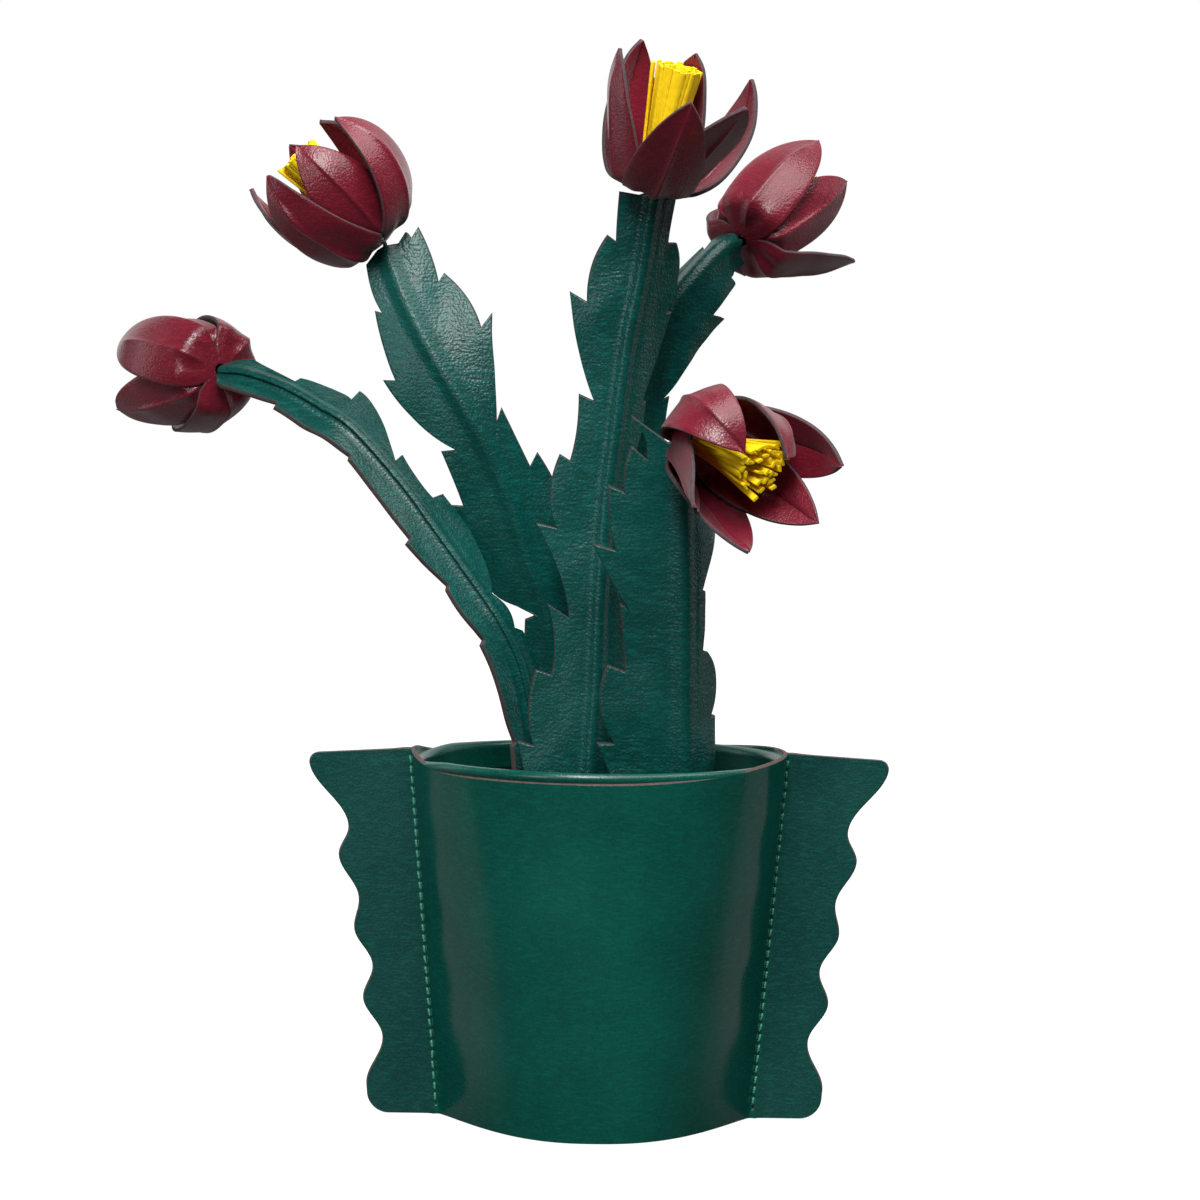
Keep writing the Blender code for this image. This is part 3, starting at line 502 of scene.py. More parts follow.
thread_finish, thread_tree, thread_shader = plain_finish("seam_thread", THREAD_GREEN, 0.55)
twist = add_node(thread_tree, "TexWave", {"bands_direction": "DIAGONAL"},
                 Vector=add_node(thread_tree, "TexCoord"), Scale=700.0, Distortion=1.5)
set_inputs(thread_tree, thread_shader, Normal=raised(thread_tree, twist, 0.1, 0.8),
           Base_Color=blend_colour(thread_tree, twist, THREAD_SHADE, THREAD_GREEN))
# The awl holes are not cut: a near-black oval under each gap is painted shade.
hole_shade_finish = tinted_finish("awl_hole_shade", (0.002, 0.006, 0.005), (0.010, 0.024, 0.020), 0.9, 1500.0)[0]


def bar_faces(rings, first):
    """Faces of a bar of rings whose points start at first, with one face over each end."""
    start = list(range(first, first + RING_POINTS))
    end = [point + (rings - 1) * RING_POINTS for point in start]
    return grid_faces(rings, RING_POINTS, first, around=True).tolist() + [start[::-1], end]


def seam_stitches(name, facing, side):
    """A row of stitches: each is a bar of round rings whose middle line is an arch, and under
    each gap lies a dark oval of painted shade where the awl hole is."""
    heights = np.arange(*STITCH_ENDS, STITCH_PITCH) + STITCH_PITCH / 2
    draw = np.random.default_rng(11 + 2 * facing + side)
    lean = 0.16 + draw.normal(0, 0.05, len(heights))
    t = np.linspace(-1, 1, STITCH_RINGS)
    turn = np.linspace(0, 2 * math.pi, RING_POINTS, endpoint=False)
    surface = PANEL_MIDDLE + PANEL_THICKNESS / 2
    radius = STITCH_RADIUS * np.sqrt(1 - 0.8 * t ** 6)[:, None]
    out = surface + (0.10 - 0.42 * np.abs(t) ** 3.5)[:, None] + radius * np.sin(turn)
    points, faces = [], []
    for k, z0 in enumerate(heights):
        x = half_width(z0) + STITCH_INSET + t * lean[k] * STITCH_LENGTH / 2 + draw.normal(0, 0.05)
        across = x[:, None] + radius * np.cos(turn)
        upward = z0 + (t * STITCH_LENGTH / 2)[:, None] + 0 * across
        points.append(np.stack([side * across, facing * out, upward], axis=-1).reshape(-1, 3))
        faces += bar_faces(STITCH_RINGS, k * STITCH_RINGS * RING_POINTS)
    sewn = len(faces)
    # Painted shade: a dark oval stands for each awl hole.
    for k, z0 in enumerate(np.append(heights - STITCH_PITCH / 2, heights[-1] + STITCH_PITCH / 2)):
        first = len(heights) * STITCH_RINGS * RING_POINTS + k * (RING_POINTS + 2)
        x0 = side * (half_width(z0) + STITCH_INSET)
        rim_x, rim_z = x0 + side * HOLE_SIZE[0] * np.cos(turn), z0 + HOLE_SIZE[1] * np.sin(turn)
        points.append(np.column_stack([rim_x, np.full(RING_POINTS, facing * (surface - 0.16)), rim_z]))
        points.append([[x0, facing * (surface - 0.10), z0], [x0, facing * (surface - 0.3), z0]])
        for i in range(RING_POINTS):
            a, b = first + i, first + (i + 1) % RING_POINTS
            faces += [[first + RING_POINTS, b, a], [first + RING_POINTS + 1, a, b]]
    if facing * side < 0:
        faces = [face[::-1] for face in faces]
    return make_piece(name, np.vstack(points), faces, [thread_finish, hole_shade_finish],
                      np.arange(len(faces)) >= sewn)


for place, facing in (("front", -1), ("back", 1)):
    for hand, side in (("left", -1), ("right", 1)):
        stitches = seam_stitches("stitches_%s_%s" % (place, hand), facing, side)
        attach(stitches, "root")
        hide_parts("seam_thread_%s_%s" % (place, hand))


# Pot lining: an oval wall of thinner, smoother leather inside the panels. Its top is rolled
# outwards into a round bead that stands just above their raw edges.
LINING_RIM = (58.2, 53.2)
LINING_FOOT = (36.4, 47.2)
LINING_TOP = 116.9
LINING_HALF = 0.6
BEAD_RADIUS = 1.9
LINING_COLUMNS = 240
WALL_ROWS = 30
# Its strokes are painted glints and its hollows painted shade.
lining_leather = leather_finish("lining_leather", POT_GREEN, POT_GREEN_SHADE, roughness=0.30, shine=0.5,
                                grain=(0.7, 0.6), crease=1.6, wrinkle=(0.5, 0.5), depth=0.03, glint_strokes=0.2)
# The lining's inner wall and the block's cover get a much darker copy of the lining leather: painted shade
# inside the pot.
painted_shade_inside_leather = leather_finish("painted_shade_inside_leather", (0.0012, 0.021, 0.017), (0.001, 0.014, 0.011),
                                roughness=0.45, shine=0.4, grain=(0.7, 0.6), crease=1.6, wrinkle=(0.5, 0.5),
                                depth=0.05, glint_strokes=0.0)
round_pot = np.linspace(0, 2 * math.pi, LINING_COLUMNS, endpoint=False)
bead = np.radians(np.linspace(-60, 200, 14))
wall_z = np.linspace(0.4, 112.0, WALL_ROWS)
profile_in = np.concatenate([np.full(WALL_ROWS, -LINING_HALF), -0.35 - BEAD_RADIUS * np.cos(bead),
                             np.full(WALL_ROWS - 1, LINING_HALF)])[:, None]
profile_z = np.concatenate([wall_z, LINING_TOP - BEAD_RADIUS + BEAD_RADIUS * np.sin(bead),
                            wall_z[-2::-1]])[:, None]
sag = 1.5 * smooth((-np.cos(round_pot) - 0.80) / 0.20) + 1.1 * smooth((np.sin(round_pot) - 0.1) / 0.9)
sag = sag + ripple(8, round_pot * 55, 0 * round_pot, 60.0, 0.12)
level = profile_z - sag * smooth((profile_z - 90.0) / 25.0)
lining_a, lining_b = (foot + (rim - foot) * level / POT_HEIGHT - profile_in
                      for foot, rim in zip(LINING_FOOT, LINING_RIM))
hand_made = ripple(9, round_pot * 55, 0 * round_pot, 45.0, 0.2) * smooth((level - 40) / 40)
lining_points = np.stack([(lining_a + 0.3 * hand_made) * np.cos(round_pot),
                          (lining_b + hand_made) * np.sin(round_pot), level], axis=-1).reshape(-1, 3)
lining_faces = grid_faces(len(profile_z) + 1, LINING_COLUMNS, around=True) % len(lining_points)
# Faces inside the pot take the darker copy, as painted shade.
in_the_pot = np.arange(len(lining_faces)) >= (WALL_ROWS + len(bead)) * LINING_COLUMNS
lining = make_piece("rolled_lining", lining_points, lining_faces, [lining_leather, painted_shade_inside_leather],
                    in_the_pot)
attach(lining, "root")
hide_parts("pot_lining")

# Base, block and cover: the underside is a leather oval, a wooden block fills the pot to just
# below the leaves' feet, and green leather covers it. The cover has the much darker inside
# leather, which is painted shade. Their plain shapes are right as they are.
block_finish = tinted_finish("bare_wood", (0.30, 0.18, 0.085), (0.55, 0.38, 0.22), 0.65, 6.0, 6.0,
                             (6.0, 60.0, 60.0))[0]
for part, finish in (("pot_base", pot_leather), ("block_cover", painted_shade_inside_leather),
                     ("planting_block", block_finish)):
    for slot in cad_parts[part].material_slots:
        slot.material = finish


# Leaf stems: two layers of thin green leather bonded round a wire, cut to a long blade with
# hooked teeth and pressed so that the wire stands out as a rib. Each half is folded back from
# the rib by its own angle, and the cut edges stay raw.
LEAF_THICKNESS = 1.5
RIB_FOLD = 1.1
RIB_REACH = 4.2
TOOTH_SLANT = 0.9
LEAF_GREEN = (0.0028, 0.092, 0.078)
LEAF_GREEN_SHADE = (0.0018, 0.062, 0.052)
LEAF_EDGE = (0.050, 0.034, 0.034)
LEAF_CUT = ((0.86, 0.12), (0.5, 0.34), (0.1, 0.50), (-0.4, 0.60), (-0.86, 0.64))
# Its strokes are painted glints and its hollows painted shade.
leaf_leather = leather_finish("leaf_leather", LEAF_GREEN, LEAF_GREEN_SHADE, roughness=0.32, shine=0.33,
                              grain=(0.9, 0.8), crease=1.9, wrinkle=(0.9, 0.9), depth=0.14, glint_strokes=0.3)
leaf_edge = cut_edge_finish("leaf_cut_edge", LEAF_EDGE, (0.15, 0.12, 0.115), -0.75)

# Each leaf stem: its rib from foot to flower as (x, y, z, left fold, right fold); how much each
# half curls on; the rib's height and half width; and the teeth of each edge from foot to flower,
# as (height, reach) along and across the rib at the notch, the belly and the tip
LEAVES = {
    "leaf_1": {
        "rib": (
            (-18, -2, 73, -50, 60), (-19.3, -2, 102, -50, 60), (-20.8, -2, 119.6, -50, 60),
            (-25.6, -2.5, 143.3, -50, 60), (-32.2, -2, 157.6, -50, 60), (-39.1, 0, 167.6, -50, 60),
            (-53.5, 4.5, 186.6, -50, 60), (-65, 9, 201.4, -52, 60), (-81.1, 15, 218.4, -54, 62),
            (-92.4, 21, 225.1, -56, 63), (-103.4, 27, 230.6, -58, 64), (-116, 33.6, 234.4, -60, 64),
            (-123.8, 38.3, 235, -60, 64),
        ),
        "curl": (0, 0), "rib_size": (1, 1.7),
        "left": (
            (11, 6.5, 30, 9.5, 48, 9.5), (49, 8, 64, 10.5, 84, 10.5), (85, 8.5, 95, 10.5, 105, 10),
            (106, 8.5, 115, 11, 124, 12.5), (125, 9.5, 140, 10, 158, 9.5), (159, 8, 172, 10, 191, 9.5),
            (192, 7, 204, 8, 216, 6),
        ),
        "right": (
            (14, 6, 32, 9, 54, 9), (56, 5, 69, 8, 82, 7.5), (84, 4.5, 89, 6.5, 93, 6),
            (97, 4, 112, 12.5, 134, 13.5), (134, 8, 142, 7.5, 151, 10), (150, 4.5, 164, 13.5, 178, 18),
            (176, 11, 184, 11.5, 194, 7.5), (194, 4.5, 203, 5.5, 212, 8),
        ),
    },
    "leaf_2": {
        "rib": (
            (-13.4, 22, 73, 10, 10), (-13.4, 22, 99.3, 10, 10), (-13.7, 22, 117.1, 10, 10),
            (-14.9, 21, 138.3, 10, 10), (-17.8, 19.5, 161.1, 10, 10), (-23.1, 18.5, 175.3, 10, 10),
            (-30.5, 17, 197.6, 10, 10), (-38.5, 16.5, 215.1, 10, 10), (-47.9, 17.5, 231, 10, 10),
            (-56.2, 20, 244.3, 10, 10), (-64.7, 24.5, 260.1, 10, 10), (-71, 30, 275.5, 10, 10),
        ),
        "curl": (0, 0), "rib_size": (1.1, 2.3),
        "left": (
            (9, 6, 26, 9, 44, 10), (45, 7.5, 66, 9, 86, 7), (87, 3, 95, 11.3, 103, 16),
            (103.1, 16, 116, 18.2, 131, 18.5), (129, 14.5, 141, 14, 150, 13.5), (148, 9, 162, 15.5, 180, 18),
            (178, 14.5, 189, 12.8, 200, 10), (198.5, 8.2, 206, 8.6, 214.9, 7.4),
        ),
        "right": (
            (9, 6, 26, 10, 44, 11), (45, 8, 66, 12, 86, 13), (84, 8, 105, 16, 136, 14),
            (133, 10, 143, 9.7, 153, 10), (150, 6.5, 163, 13.5, 182, 23), (179, 17.5, 191, 18.2, 203, 14.8),
            (200.4, 12, 210, 12.8, 220.8, 12), (217.3, 8.6, 219.3, 8.3, 220.5, 7.4),
        ),
    },
    "leaf_3": {
        "rib": (
            (-3.6, -14, 73, 5, 45), (-3.4, -14, 103.8, 5, 45), (-2.4, -13.5, 126.1, 5, 45),
            (-1.4, -13, 142.3, 5, 45), (-1, -12.5, 161, 5, 45), (-0.3, -12, 178.4, 5, 45),
            (0.9, -11, 199, 5, 48), (3.2, -11, 218, 5, 50), (4.8, -11, 232.9, 5, 50),
            (7.1, -11, 250.6, 5, 50), (9.4, -11, 263.2, 5, 50), (11.2, -11, 273, 5, 50),
            (12.6, -12, 283.1, 5, 50), (14.3, -13.7, 294.2, 5, 50),
        ),
        "curl": (0, 0), "rib_size": (1.1, 1.7),
        "left": (
            (13, 12, 30, 18, 47.5, 23), (46.5, 18, 58, 20.5, 71, 19), (69.5, 14, 81, 13.5, 92, 16),
            (88, 9, 101, 12.5, 117, 21), (116, 14.5, 126, 17.5, 138, 16), (136.5, 12.5, 147, 11.8, 158, 12.5),
            (156.5, 7.5, 169, 13.5, 188, 20.5), (186, 14.5, 198, 15.3, 208.5, 12),
            (207, 9, 214, 9.8, 222.5, 10.5),
        ),
        "right": (
            (13, 8, 32, 13, 50, 14), (50, 10.5, 67, 14.5, 86, 15.5), (86, 9, 101, 13.5, 118, 15.5),
            (118, 10, 129, 13, 140, 13), (140, 9, 149, 11.5, 158, 12), (157, 9.5, 173, 14.5, 188, 16.5),
            (187, 14, 198, 16.5, 208, 13.5), (208, 9.5, 214, 9.3, 222.5, 9.5),
        ),
    },
    "leaf_4": {
        "rib": (
            (13.7, 16, 73, 40, 5), (13.4, 16, 100.3, 40, 5), (12.4, 16, 118.1, 40, 5),
            (10.3, 15, 152.2, 40, 5), (8.5, 14, 184.5, 40, 5), (8.4, 14, 210.2, 45, 5),
            (10.1, 15, 229.4, 50, 5), (14.3, 17, 247, 55, 5), (21.2, 20, 259.5, 60, 5),
            (29.1, 25, 269.4, 64, 5), (36.2, 32, 276.8, 66, 5), (41, 37.4, 279.7, 66, 5),
        ),
        "curl": (0, 3), "rib_size": (1.5, 2.9),
        "left": (
            (11, 8, 30, 13, 50, 15), (49, 11, 68, 15, 88, 16), (86, 9, 103, 14, 124, 17),
            (122, 12, 138, 13, 156, 12), (154, 7.5, 166, 12, 180, 15), (178, 11, 190, 12.5, 203, 13),
            (202, 9, 209, 8, 216, 6.5), (214, 4.5, 220, 5.5, 225, 5.5),
        ),
        "right": (
            (11, 8, 30, 13, 50, 15), (49, 11, 68, 15, 88, 16), (86, 9, 103, 14, 124, 17),
            (122, 12, 141, 11.5, 160, 10.5), (157, 7.5, 174, 14.5, 203, 18.5),
            (196, 13.5, 205, 12.8, 216, 12), (214, 9, 220, 8.5, 225, 7.5),
        ),
    },
    "leaf_5": {
        "rib": (
            (27, -24, 73, 5, 42), (26.6, -24, 105.5, 5, 42), (26.3, -25, 123, 5, 42),
            (26, -26, 140.5, 5, 42), (25.7, -27, 156.4, 5, 42), (25.5, -28, 172.3, 5, 42),
            (24.9, -29, 188.1, 5, 42), (24.4, -30.5, 203.9, 5, 42), (24.3, -31.8, 213, 5, 42),
            (24.6, -32.6, 218, 5, 42),
        ),
        "curl": (0, 1.8), "rib_size": (0.9, 2.4),
        "left": (
            (16, 13, 33, 20, 50, 27), (50, 21.5, 62, 26, 75, 23.5), (73, 18, 84, 18.5, 95, 19.5),
            (88, 13.5, 100, 21, 114, 27.5), (112, 20.5, 122, 22.5, 132, 22.5),
            (130, 17.5, 137, 17.5, 143, 15.5), (140, 10.5, 147, 12, 153, 17),
        ),
        "right": (
            (16, 9, 35, 14.5, 57, 17.5), (57, 13.5, 68, 18, 78, 12), (79, 8.5, 89, 9.5, 98, 9.5),
            (92, 4.5, 104, 11, 115, 18), (117, 16, 124, 11.5, 133, 13), (131, 9, 138, 10.5, 147, 11),
        ),
    },
}


def smooth_curve(stations, steps):
    """Points of a Catmull-Rom curve through the stations, in every one of their columns."""
    rows = np.asarray(stations, float)
    rows = np.vstack([2 * rows[0] - rows[1], rows, 2 * rows[-1] - rows[-2]])
    t = np.linspace(0, 1, steps, endpoint=False)[:, None]
    curve = []
    for a, b, c, d in zip(rows, rows[1:], rows[2:], rows[3:]):
        curve.append(0.5 * (2 * b + (c - a) * t + (2 * a - 5 * b + 4 * c - d) * t ** 2
                            + (3 * b - a - 3 * c + d) * t ** 3))
    return np.vstack(curve + [rows[-2:-1]])


def tooth_line(teeth, length):
    """(height, reach) points of one edge, from the foot's point to the top: each tooth is a
    quadratic curve from its notch over its belly to its tip."""
    t = np.linspace(0, 1, 25)[:, None]
    parts = [np.zeros((1, 2))]
    for s0, w0, s1, w1, s2, w2 in teeth:
        parts.append((1 - t) * (1 - 2 * t) * (s0, w0) + 4 * t * (1 - t) * (s1, w1)
                     + t * (2 * t - 1) * (s2, w2))
    return np.vstack(parts + [[(length, 4.2), (length + 1.0, 2.4), (length + 1.2, 0.0)]])


def leaf_stem(number, name, spec):
    """A blade as a grid: rows run out from the rib on a slant, so that every hooked tooth is
    crossed once, and columns run along it. A point at reach w leaves the rib in a direction
    that turns back by the fold angle within RIB_FOLD, and curls on evenly. The wire lifts both
    faces by a bell curve over the rib. Returns the rib's last two points."""
    table = smooth_curve(spec["rib"], 40)
    steps = np.linalg.norm(np.diff(table[:, :3], axis=0), axis=1)
    run = np.concatenate([[0.0], np.cumsum(steps)])
    length = run[-1]
    edges = [tooth_line(spec[side], length) for side in ("left", "right")]
    slants = [edge[:, 0] - TOOTH_SLANT * edge[:, 1] for edge in edges]
    corners = np.concatenate([slant[1::25] for slant in slants] + [slant[25::25] for slant in slants])
    rows = np.unique(np.round(np.concatenate([np.arange(0.2, length + 1.0, 0.62), corners]), 2))
    rows = rows[(rows > 0.15) & (rows < length + 1.0)]
    reaches = [np.interp(rows, np.maximum.accumulate(slant), edge[:, 1])
               for slant, edge in zip(slants, edges)]
    near = np.array([0.0, 0.45, 0.9, 1.4, 1.9, 2.5, 3.2, RIB_REACH]) / RIB_REACH
    far = np.concatenate([np.linspace(0, 0.9, 10)[1:], [0.96, 1.0]])
    halves = []
    for reach in reaches:
        anchor = np.minimum(RIB_REACH, 0.6 * reach)[:, None]
        halves.append(np.hstack([anchor * near, anchor + (reach[:, None] - anchor) * far]))
    w = np.hstack([-halves[0][:, :0:-1], halves[1]])
    reach = np.abs(w)
    s = np.clip(rows[:, None] + TOOTH_SLANT * reach, 0.0, None)
    on_rib = np.clip(s, 0.0, length)

    def column(k, at):
        return np.interp(at, run, table[:, k])

    def place_at(at):
        return np.stack([column(k, at) for k in range(3)], axis=-1)

    ahead, behind = np.clip(on_rib + 1.5, 1.5, length), np.clip(on_rib - 1.5, 0.0, length - 1.5)
    along = lengthen(place_at(ahead) - place_at(behind))
    right = lengthen(np.cross((0.0, 1.0, 0.0), along))
    front = np.cross(right, along)
    is_left = w < 0
    side = np.where(is_left, -1.0, 1.0)[..., None]
    curl = np.where(is_left, *spec["curl"])
    full_fold = np.where(is_left, column(3, on_rib), column(4, on_rib))
    turning = 1 - np.exp(-reach / RIB_FOLD)
    mean_turn = 1 - RIB_FOLD * turning / np.maximum(reach, 1e-6)
    mean_fold = np.radians(full_fold * mean_turn + curl * reach / 2)[..., None]
    end_fold = np.radians(full_fold * turning + curl * reach)[..., None]
    out = side * right * np.cos(mean_fold) - front * np.sin(mean_fold)
    normal = front * np.cos(end_fold) + side * right * np.sin(end_fold)
    middle = place_at(on_rib) + along * (s - on_rib)[..., None] + out * reach[..., None]
    wave = ripple(20 + number, s, w, 46.0, 0.42) * smooth((reach - 2.5) / 9.0)
    wave = wave + ripple(40 + number, s, w, 17.0, 0.10) * smooth((reach - 2.5) / 5.0)
    middle = middle + normal * wave[..., None]
    height, width = spec["rib_size"]
    lift = height * np.exp(-(w / width) ** 2) - 0.16 * np.exp(-((reach - 1.9 * width) / 1.0) ** 2)
    half = LEAF_THICKNESS / 2
    blade = sheet_piece("%s_blade" % name, [leaf_leather, leaf_edge],
                        leather_sheet(middle, normal, half + lift, half + 0.7 * lift, cut=LEAF_CUT))
    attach(blade, "root")
    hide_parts(name)
    return place_at(np.array([length - 1.0, length]))


leaf_ends = {}
for number, (name, spec) in enumerate(LEAVES.items()):
    leaf_ends[name] = leaf_stem(number, name, spec)


# Flowers: two whorls of three petals cut from burgundy leather and moulded over a rounded
# shoulder, round a fringe of yellow leather. A pinched crease runs up the middle of each petal.
NECK_LENGTH = 1.2
SEAT_GAP = 0.3
RIB_HALF_WIDTH = 3.0
PETAL_THICKNESS = 1.15
DISC_RADIUS = 6.0
DISC_SLOPE = 80.0
DISC_HOLE = 2.0
PETAL_FREE_AT = 14.0
# Half a petal's width at lengths from the flower's axis
PETAL_OUTLINE = (
    (9, 8.7), (14, 11.3), (20, 11.9), (28, 11.5), (36, 10.1), (44, 7.6), (51, 4), (56, 0.25),
)
# Where the petals of a whorl bend up, how high its disc lies above the flower's base, how much
# flatter than a cone the petals are and how long they are
OUTER_WHORL = ((11.0, 16.5), 0.6, 2.0, 56.0)
INNER_WHORL = ((9.0, 14.5), 2.3, 0.0, 52.5)
PETAL_RED = (0.25, 0.0115, 0.031)
PETAL_RED_SHADE = (0.17, 0.008, 0.021)
PETAL_EDGE = (0.070, 0.045, 0.050)
# Its strokes are painted glints and its hollows painted shade.
petal_leather = leather_finish("petal_leather", PETAL_RED, PETAL_RED_SHADE, roughness=0.32, shine=0.5,
                               grain=(0.75, 0.9), crease=1.8, wrinkle=(0.7, 0.4), depth=0.10, glint_strokes=0.2)
petal_tree = petal_leather.node_tree
set_inputs(petal_tree, petal_tree.nodes["Principled BSDF"], Sheen_Weight=0.16, Sheen_Roughness=0.4,
           Sheen_Tint=(1.0, 0.86, 0.88))
petal_edge = cut_edge_finish("petal_cut_edge", PETAL_EDGE, (0.16, 0.12, 0.125), -0.8)
# Each flower: its axis; how far its base is pushed right and up from the leaf's end; the turn of
# its first outer petal round the axis; and for each outer and inner petal how far it sways round
# the axis from its even place, leans out and bows
FLOWERS = {
    "flower_1": {
        "axis": (-0.51, 0.86, -0.03), "offset": (1, 0.9), "turn": -65.4,
        "outer": ((4, 3, 24), (0, -4, 22), (-9, 1, 29)),
        "inner": ((12, -2, 18), (-8, -2, 14), (-1, 12, 16)),
    },
    "flower_2": {
        "axis": (-0.71, -0.06, 0.70), "offset": (1.1, 0.3), "turn": 97.5,
        "outer": ((-6, 6, 27), (12, 2, 36), (-11, 8, 44)),
        "inner": ((16, 8, 31), (2, 2, 35), (-1, 3, 36)),
    },
    "flower_3": {
        "axis": (0.21, -0.17, 0.96), "offset": (-1.5, 0.2), "turn": -89.2,
        "outer": ((8, 34, 10), (1, 18, 33), (-22, 9, 15)),
        "inner": ((-20, 35, -2), (-29, -5, 8), (-8, 12, 11)),
    },
    "flower_4": {
        "axis": (0.52, 0.73, 0.43), "offset": (1.3, -0.4), "turn": -1.7,
        "outer": ((10, 22, 6), (-23, 8, 26), (-2, 2, 19)),
        "inner": ((20, -1, -10), (-10, 1, 15), (3, 2, 13)),
    },
    "flower_5": {
        "axis": (0.49, -0.83, -0.26), "offset": (2.6, 2.2), "turn": 2.9,
        "outer": ((12, 11, 4), (-1, 19, 25), (-2, -11, 61)),
        "inner": ((18, 20, -7), (-26, -6, 47), (8, 20, -6)),
    },
}


def flower_seat(axis, offset, end):
    """The middle of a flower's base, its axis and two directions across it: the base stands off
    the leaf's end by the neck, and by more the more the leaf is turned to the axis."""
    axis = lengthen(np.array(axis))
    across = lengthen(np.cross((0.0, 1.0, 0.0), axis))
    neck = lengthen(end[1] - end[0])
    tilt = np.linalg.norm(np.cross(axis, neck))
    base = end[1] + NECK_LENGTH * neck + (SEAT_GAP + RIB_HALF_WIDTH * tilt) * axis
    base = base + np.array((offset[0], 0.0, offset[1]))
    return base, axis, across, np.cross(axis, across)


def in_flower(seat, radial, turn, height):
    """Points at a distance from the flower's axis, an angle round it and a height on it."""
    base, axis, across, away = seat
    radial, turn, height = (np.asarray(v, float)[..., None] for v in (radial, turn, height))
    return base + axis * height + (across * np.cos(turn) + away * np.sin(turn)) * radial


def petal_surface(turn, sway, lean, bow, bend, floor, flatness, reach):
    """One petal as a grid of (distance from the axis, turn round it, height on it). Its middle
    line leaves the disc at a gentle slope, bends up over its shoulder, and bows back towards
    the axis; across it the petal is an arc. The crease stands out from the arc in a narrow
    ridge that fades towards the tip, and the shoulder is gathered in shallow puckers."""
    fine = np.linspace(DISC_HOLE, reach, 400)
    step = fine[1] - fine[0]
    rise = smooth((fine - bend[0]) / (bend[1] - bend[0]))
    beyond = np.clip((fine - bend[1]) / (fine[-1] - bend[1]), 0, 1)
    slope = np.radians(DISC_SLOPE + (lean + bow * (1 - 2 * beyond) - DISC_SLOPE) * rise)
    out = DISC_HOLE + (np.cumsum(np.sin(slope)) - math.sin(slope[0])) * step
    up = floor + (np.cumsum(np.cos(slope)) - math.cos(slope[0])) * step
    free = smooth_curve(PETAL_OUTLINE, 9)
    first = free[0, 0]
    free[:, 0] = first + (free[:, 0] - first) * (reach - first) / (free[-1, 0] - first)
    joined = np.linspace(DISC_HOLE, DISC_RADIUS, 6)
    joined_half = np.interp(joined, fine, out) * math.pi / 3
    length = np.concatenate([joined, free[:, 0]])
    half = np.concatenate([joined_half, free[:, 1]])[:, None]
    rho, height, angle = (np.interp(length, fine, v)[:, None] for v in (out, up, slope))
    share = np.concatenate([np.linspace(-1, -0.2, 9), [-0.14, -0.09, -0.05, -0.02, 0.0, 0.02, 0.05, 0.09],
                            [0.14], np.linspace(0.2, 1, 9)])[None, :]
    length = length[:, None]
    open_share = np.clip((length - DISC_RADIUS) / (PETAL_FREE_AT - DISC_RADIUS), 0, 1)
    wrap = rho + flatness * open_share
    aside_flat = half * share
    ridge = 0.75 * np.exp(-np.abs(aside_flat) / 0.9) + 0.35 * np.exp(-(aside_flat / 3.5) ** 2)
    ridge = ridge * smooth((length - 5.0) / 6.0) * (1 - smooth((length - 40.0) / 13.0))
    pucker = 0.28 * np.cos(share * 3.1 * math.pi) * smooth((length - 6.0) / 4.0)
    pucker = pucker * (1 - smooth((length - 13.0) / 7.0))
    bump = ridge + pucker
    along = rho - wrap + wrap * np.cos(half * share / wrap) + bump * np.cos(angle)
    aside = wrap * np.sin(half * share / wrap)
    radial = np.hypot(along, aside)
    around = math.radians(turn) + np.radians(sway) * open_share + np.arctan2(aside, along)
    return radial, around, height - bump * np.sin(angle) + 0 * share


def whorl(name, seat, turn, poses, form, seed):
    """Three petals that leave one disc."""
    petals = []
    for k, pose in enumerate(poses):
        radial, around, height = petal_surface(turn + 120.0 * k, *pose, *form)
        middle = in_flower(seat, radial, around, height)
        rows, columns = radial.shape
        normal = face_normals(middle)
        s, w = np.mgrid[0:rows, 0:columns]
        wave = ripple(seed + k, s * 0.7, w * 0.9, 26.0, 0.30) * smooth((s - 12) / 20.0)
        middle = middle + normal * wave[..., None]
        half = PETAL_THICKNESS / 2
        petals.append(leather_sheet(middle, normal, half, half))
    return sheet_piece(name, [petal_leather, petal_edge], *petals)


seats = {}
for number, (name, spec) in enumerate(FLOWERS.items(), start=1):
    seats[name] = flower_seat(spec["axis"], spec["offset"], leaf_ends["leaf_%d" % number])
    for k, (layer, form, shift) in enumerate((("outer", OUTER_WHORL, 0.0), ("inner", INNER_WHORL, 60.0))):
        petals = whorl("%s_%s_whorl" % (name, layer), seats[name], spec["turn"] + shift, spec[layer], form,
                       100 * number + 10 * k)
        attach(petals, "root")
        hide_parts("%s_%s_petals" % (name, layer))


# Stamens: a strip of yellow leather, slit into narrow strands down to a band, rolled up tight
# and glued into the flower. The strands are cut off square.
STRAND_WIDTH = 1.75
STRAND_THICKNESS = 0.85
BAND_HEIGHT = 7.0
FRINGE_FLOOR = 3.7
FRINGE_START = 1.55
FRINGE_PITCH = 1.25
FRINGE_TURNS = 2.5
# Each flower's strands: how far the outermost lean out per millimetre of height, how much they
# curl, how tall they stand, and how far the bundle leans over and in which direction
FRINGE_POSES = {
    "flower_1": (0.12, 0.0, 37.0, 0.0, 0.0), "flower_2": (0.10, 0.0, 36.0, 0.0, 0.0),
    "flower_3": (0.115, 0.0, 37.0, 0.0, 0.0), "flower_4": (0.12, 0.0, 37.0, 0.0, 0.0),
    "flower_5": (0.12, 0.6, 31.0, 0.12, 143.0),
}
strand_finish, strand_tree, strand_shader = tinted_finish(
    "stamen_leather", (0.93, 0.56, 0.004), (1.0, 0.80, 0.02), 0.55, 500.0, 4.0, relief=0.2)
set_inputs(strand_tree, strand_shader, Specular_IOR_Level=0.15)


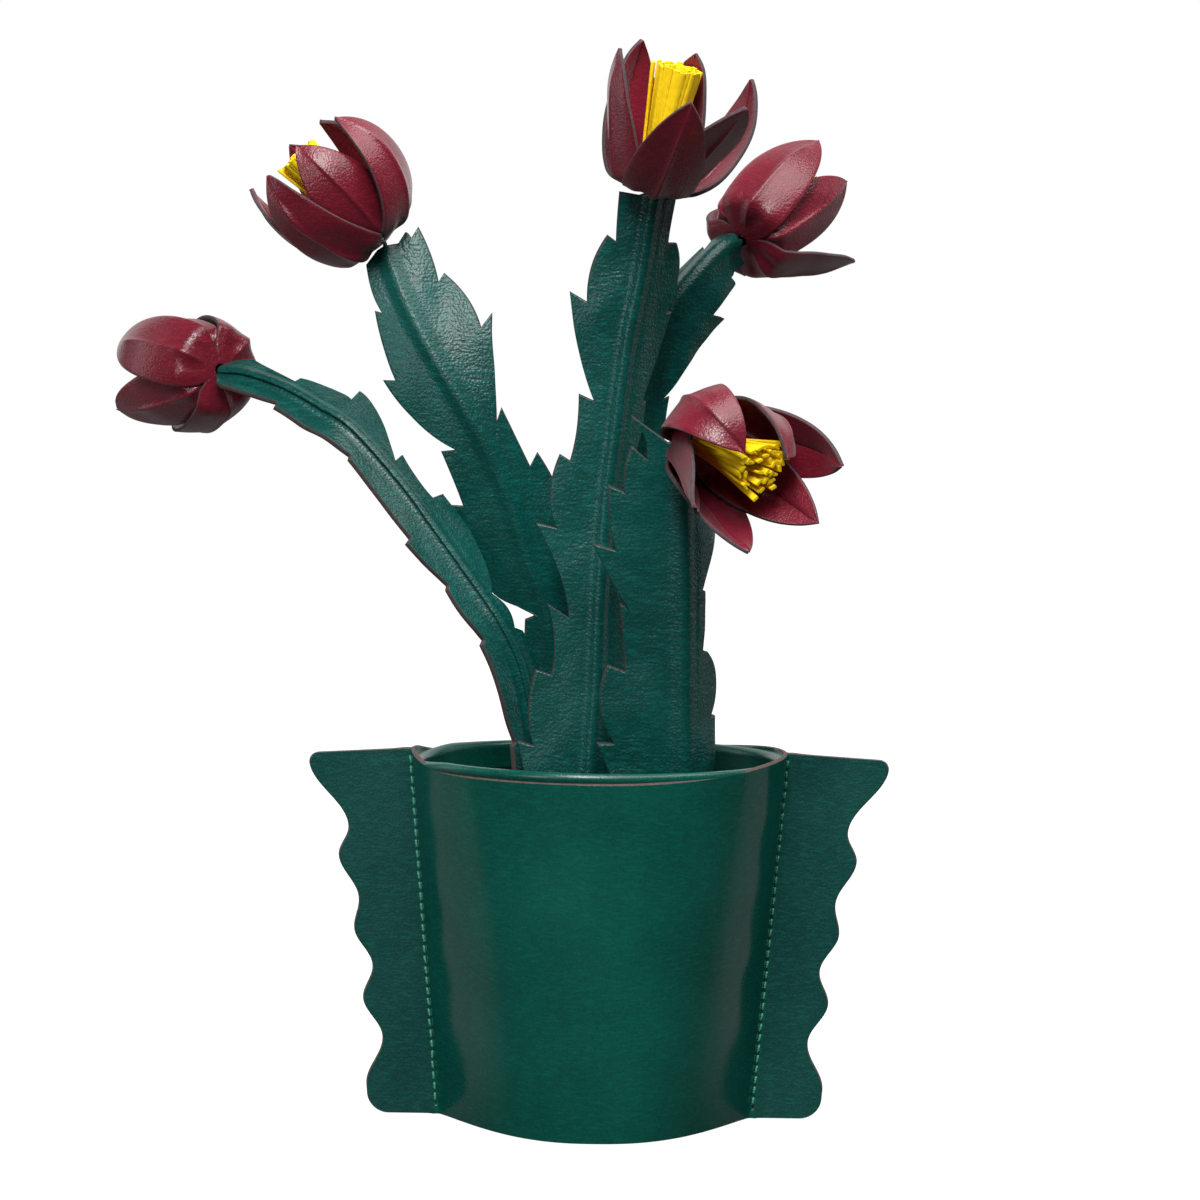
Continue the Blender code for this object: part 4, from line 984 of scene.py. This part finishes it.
def fringe(name, seat, pose, seed):
    """Strands as bars of oblong rings along paths that rise from a spiral band and lean out
    with the distance from the axis, and that stand in a spiral. The bundle may stoop as one."""
    splay, curl, tall, stoop, heading = pose
    heading = math.radians(heading)
    draw = np.random.default_rng(seed)
    growth = FRINGE_PITCH / (2 * math.pi)
    full_turn = 2 * math.pi * FRINGE_TURNS
    strip = FRINGE_START * full_turn + growth * full_turn ** 2 / 2
    count = int(strip / STRAND_WIDTH / 0.62)
    places = (np.arange(count) + 0.5) * strip / count
    turn = (np.sqrt(FRINGE_START ** 2 + 2 * growth * places) - FRINGE_START) / growth
    radius = FRINGE_START + growth * turn
    widest = FRINGE_START + growth * full_turn
    t = np.linspace(0, 1, 13)
    ring = np.array([(-1, -0.6), (-0.85, -1), (0.85, -1), (1, -0.6), (1, 0.6), (0.85, 1), (-0.85, 1),
                     (-1, 0.6)])
    points, faces = [], []
    for k in range(count):
        height = t * (tall + draw.normal(0, 0.35))
        free = np.clip(height - BAND_HEIGHT, 0, None)[:, None]
        risen = free / tall
        lean = splay * (radius[k] / widest) * (1 + draw.normal(0, 0.10 + 0.35 * curl))
        reach = radius[k] + lean * free + curl * 0.006 * free ** 2 * draw.uniform(-0.5, 1.2)
        drift = turn[k] + draw.normal(0, 0.035 + 0.14 * curl) * risen
        drift = drift + curl * draw.normal(0, 0.3) * risen ** 2
        spin = draw.normal(0, 0.20 + 0.55 * curl) * risen
        across = STRAND_WIDTH / 2 * (1 + 0.25 * risen) * ring[:, 0]
        through = STRAND_THICKNESS / 2 * ring[:, 1]
        outwards = reach + through * np.cos(spin) + across * np.sin(spin)
        sideways = across * np.cos(spin) - through * np.sin(spin)
        bend = stoop * (free + 0.004 * free ** 2)
        first_way = outwards * np.cos(drift) - sideways * np.sin(drift) + bend * math.cos(heading)
        second_way = outwards * np.sin(drift) + sideways * np.cos(drift) + bend * math.sin(heading)
        level = FRINGE_FLOOR + height[:, None] + 0 * sideways
        strand = in_flower(seat, np.hypot(first_way, second_way), np.arctan2(second_way, first_way), level)
        points.append(strand.reshape(-1, 3))
        faces += bar_faces(len(t), k * len(t) * RING_POINTS)
    return make_piece(name, np.vstack(points), faces, [strand_finish], creased=50.0)


for number, (name, pose) in enumerate(FRINGE_POSES.items(), start=1):
    stamens = fringe("%s_fringe" % name, seats[name], pose, 500 + number)
    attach(stamens, "root")
    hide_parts("%s_stamens" % name)

# Wires: plain drawn steel, seen only in the short necks between leaves and flowers.
wire_finish, wire_tree, wire_shader = plain_finish("drawn_steel", (0.32, 0.32, 0.33), 0.35)
draw_lines = add_node(wire_tree, "TexNoise", Vector=add_node(wire_tree, "TexCoord"), Scale=1200.0, Detail=2.0)
set_inputs(wire_tree, wire_shader, Metallic=1.0,
           Roughness=map_range(wire_tree, draw_lines, 0.0, 1.0, 0.25, 0.5))
for number in range(1, 6):
    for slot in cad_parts["wire_%d" % number].material_slots:
        slot.material = wire_finish
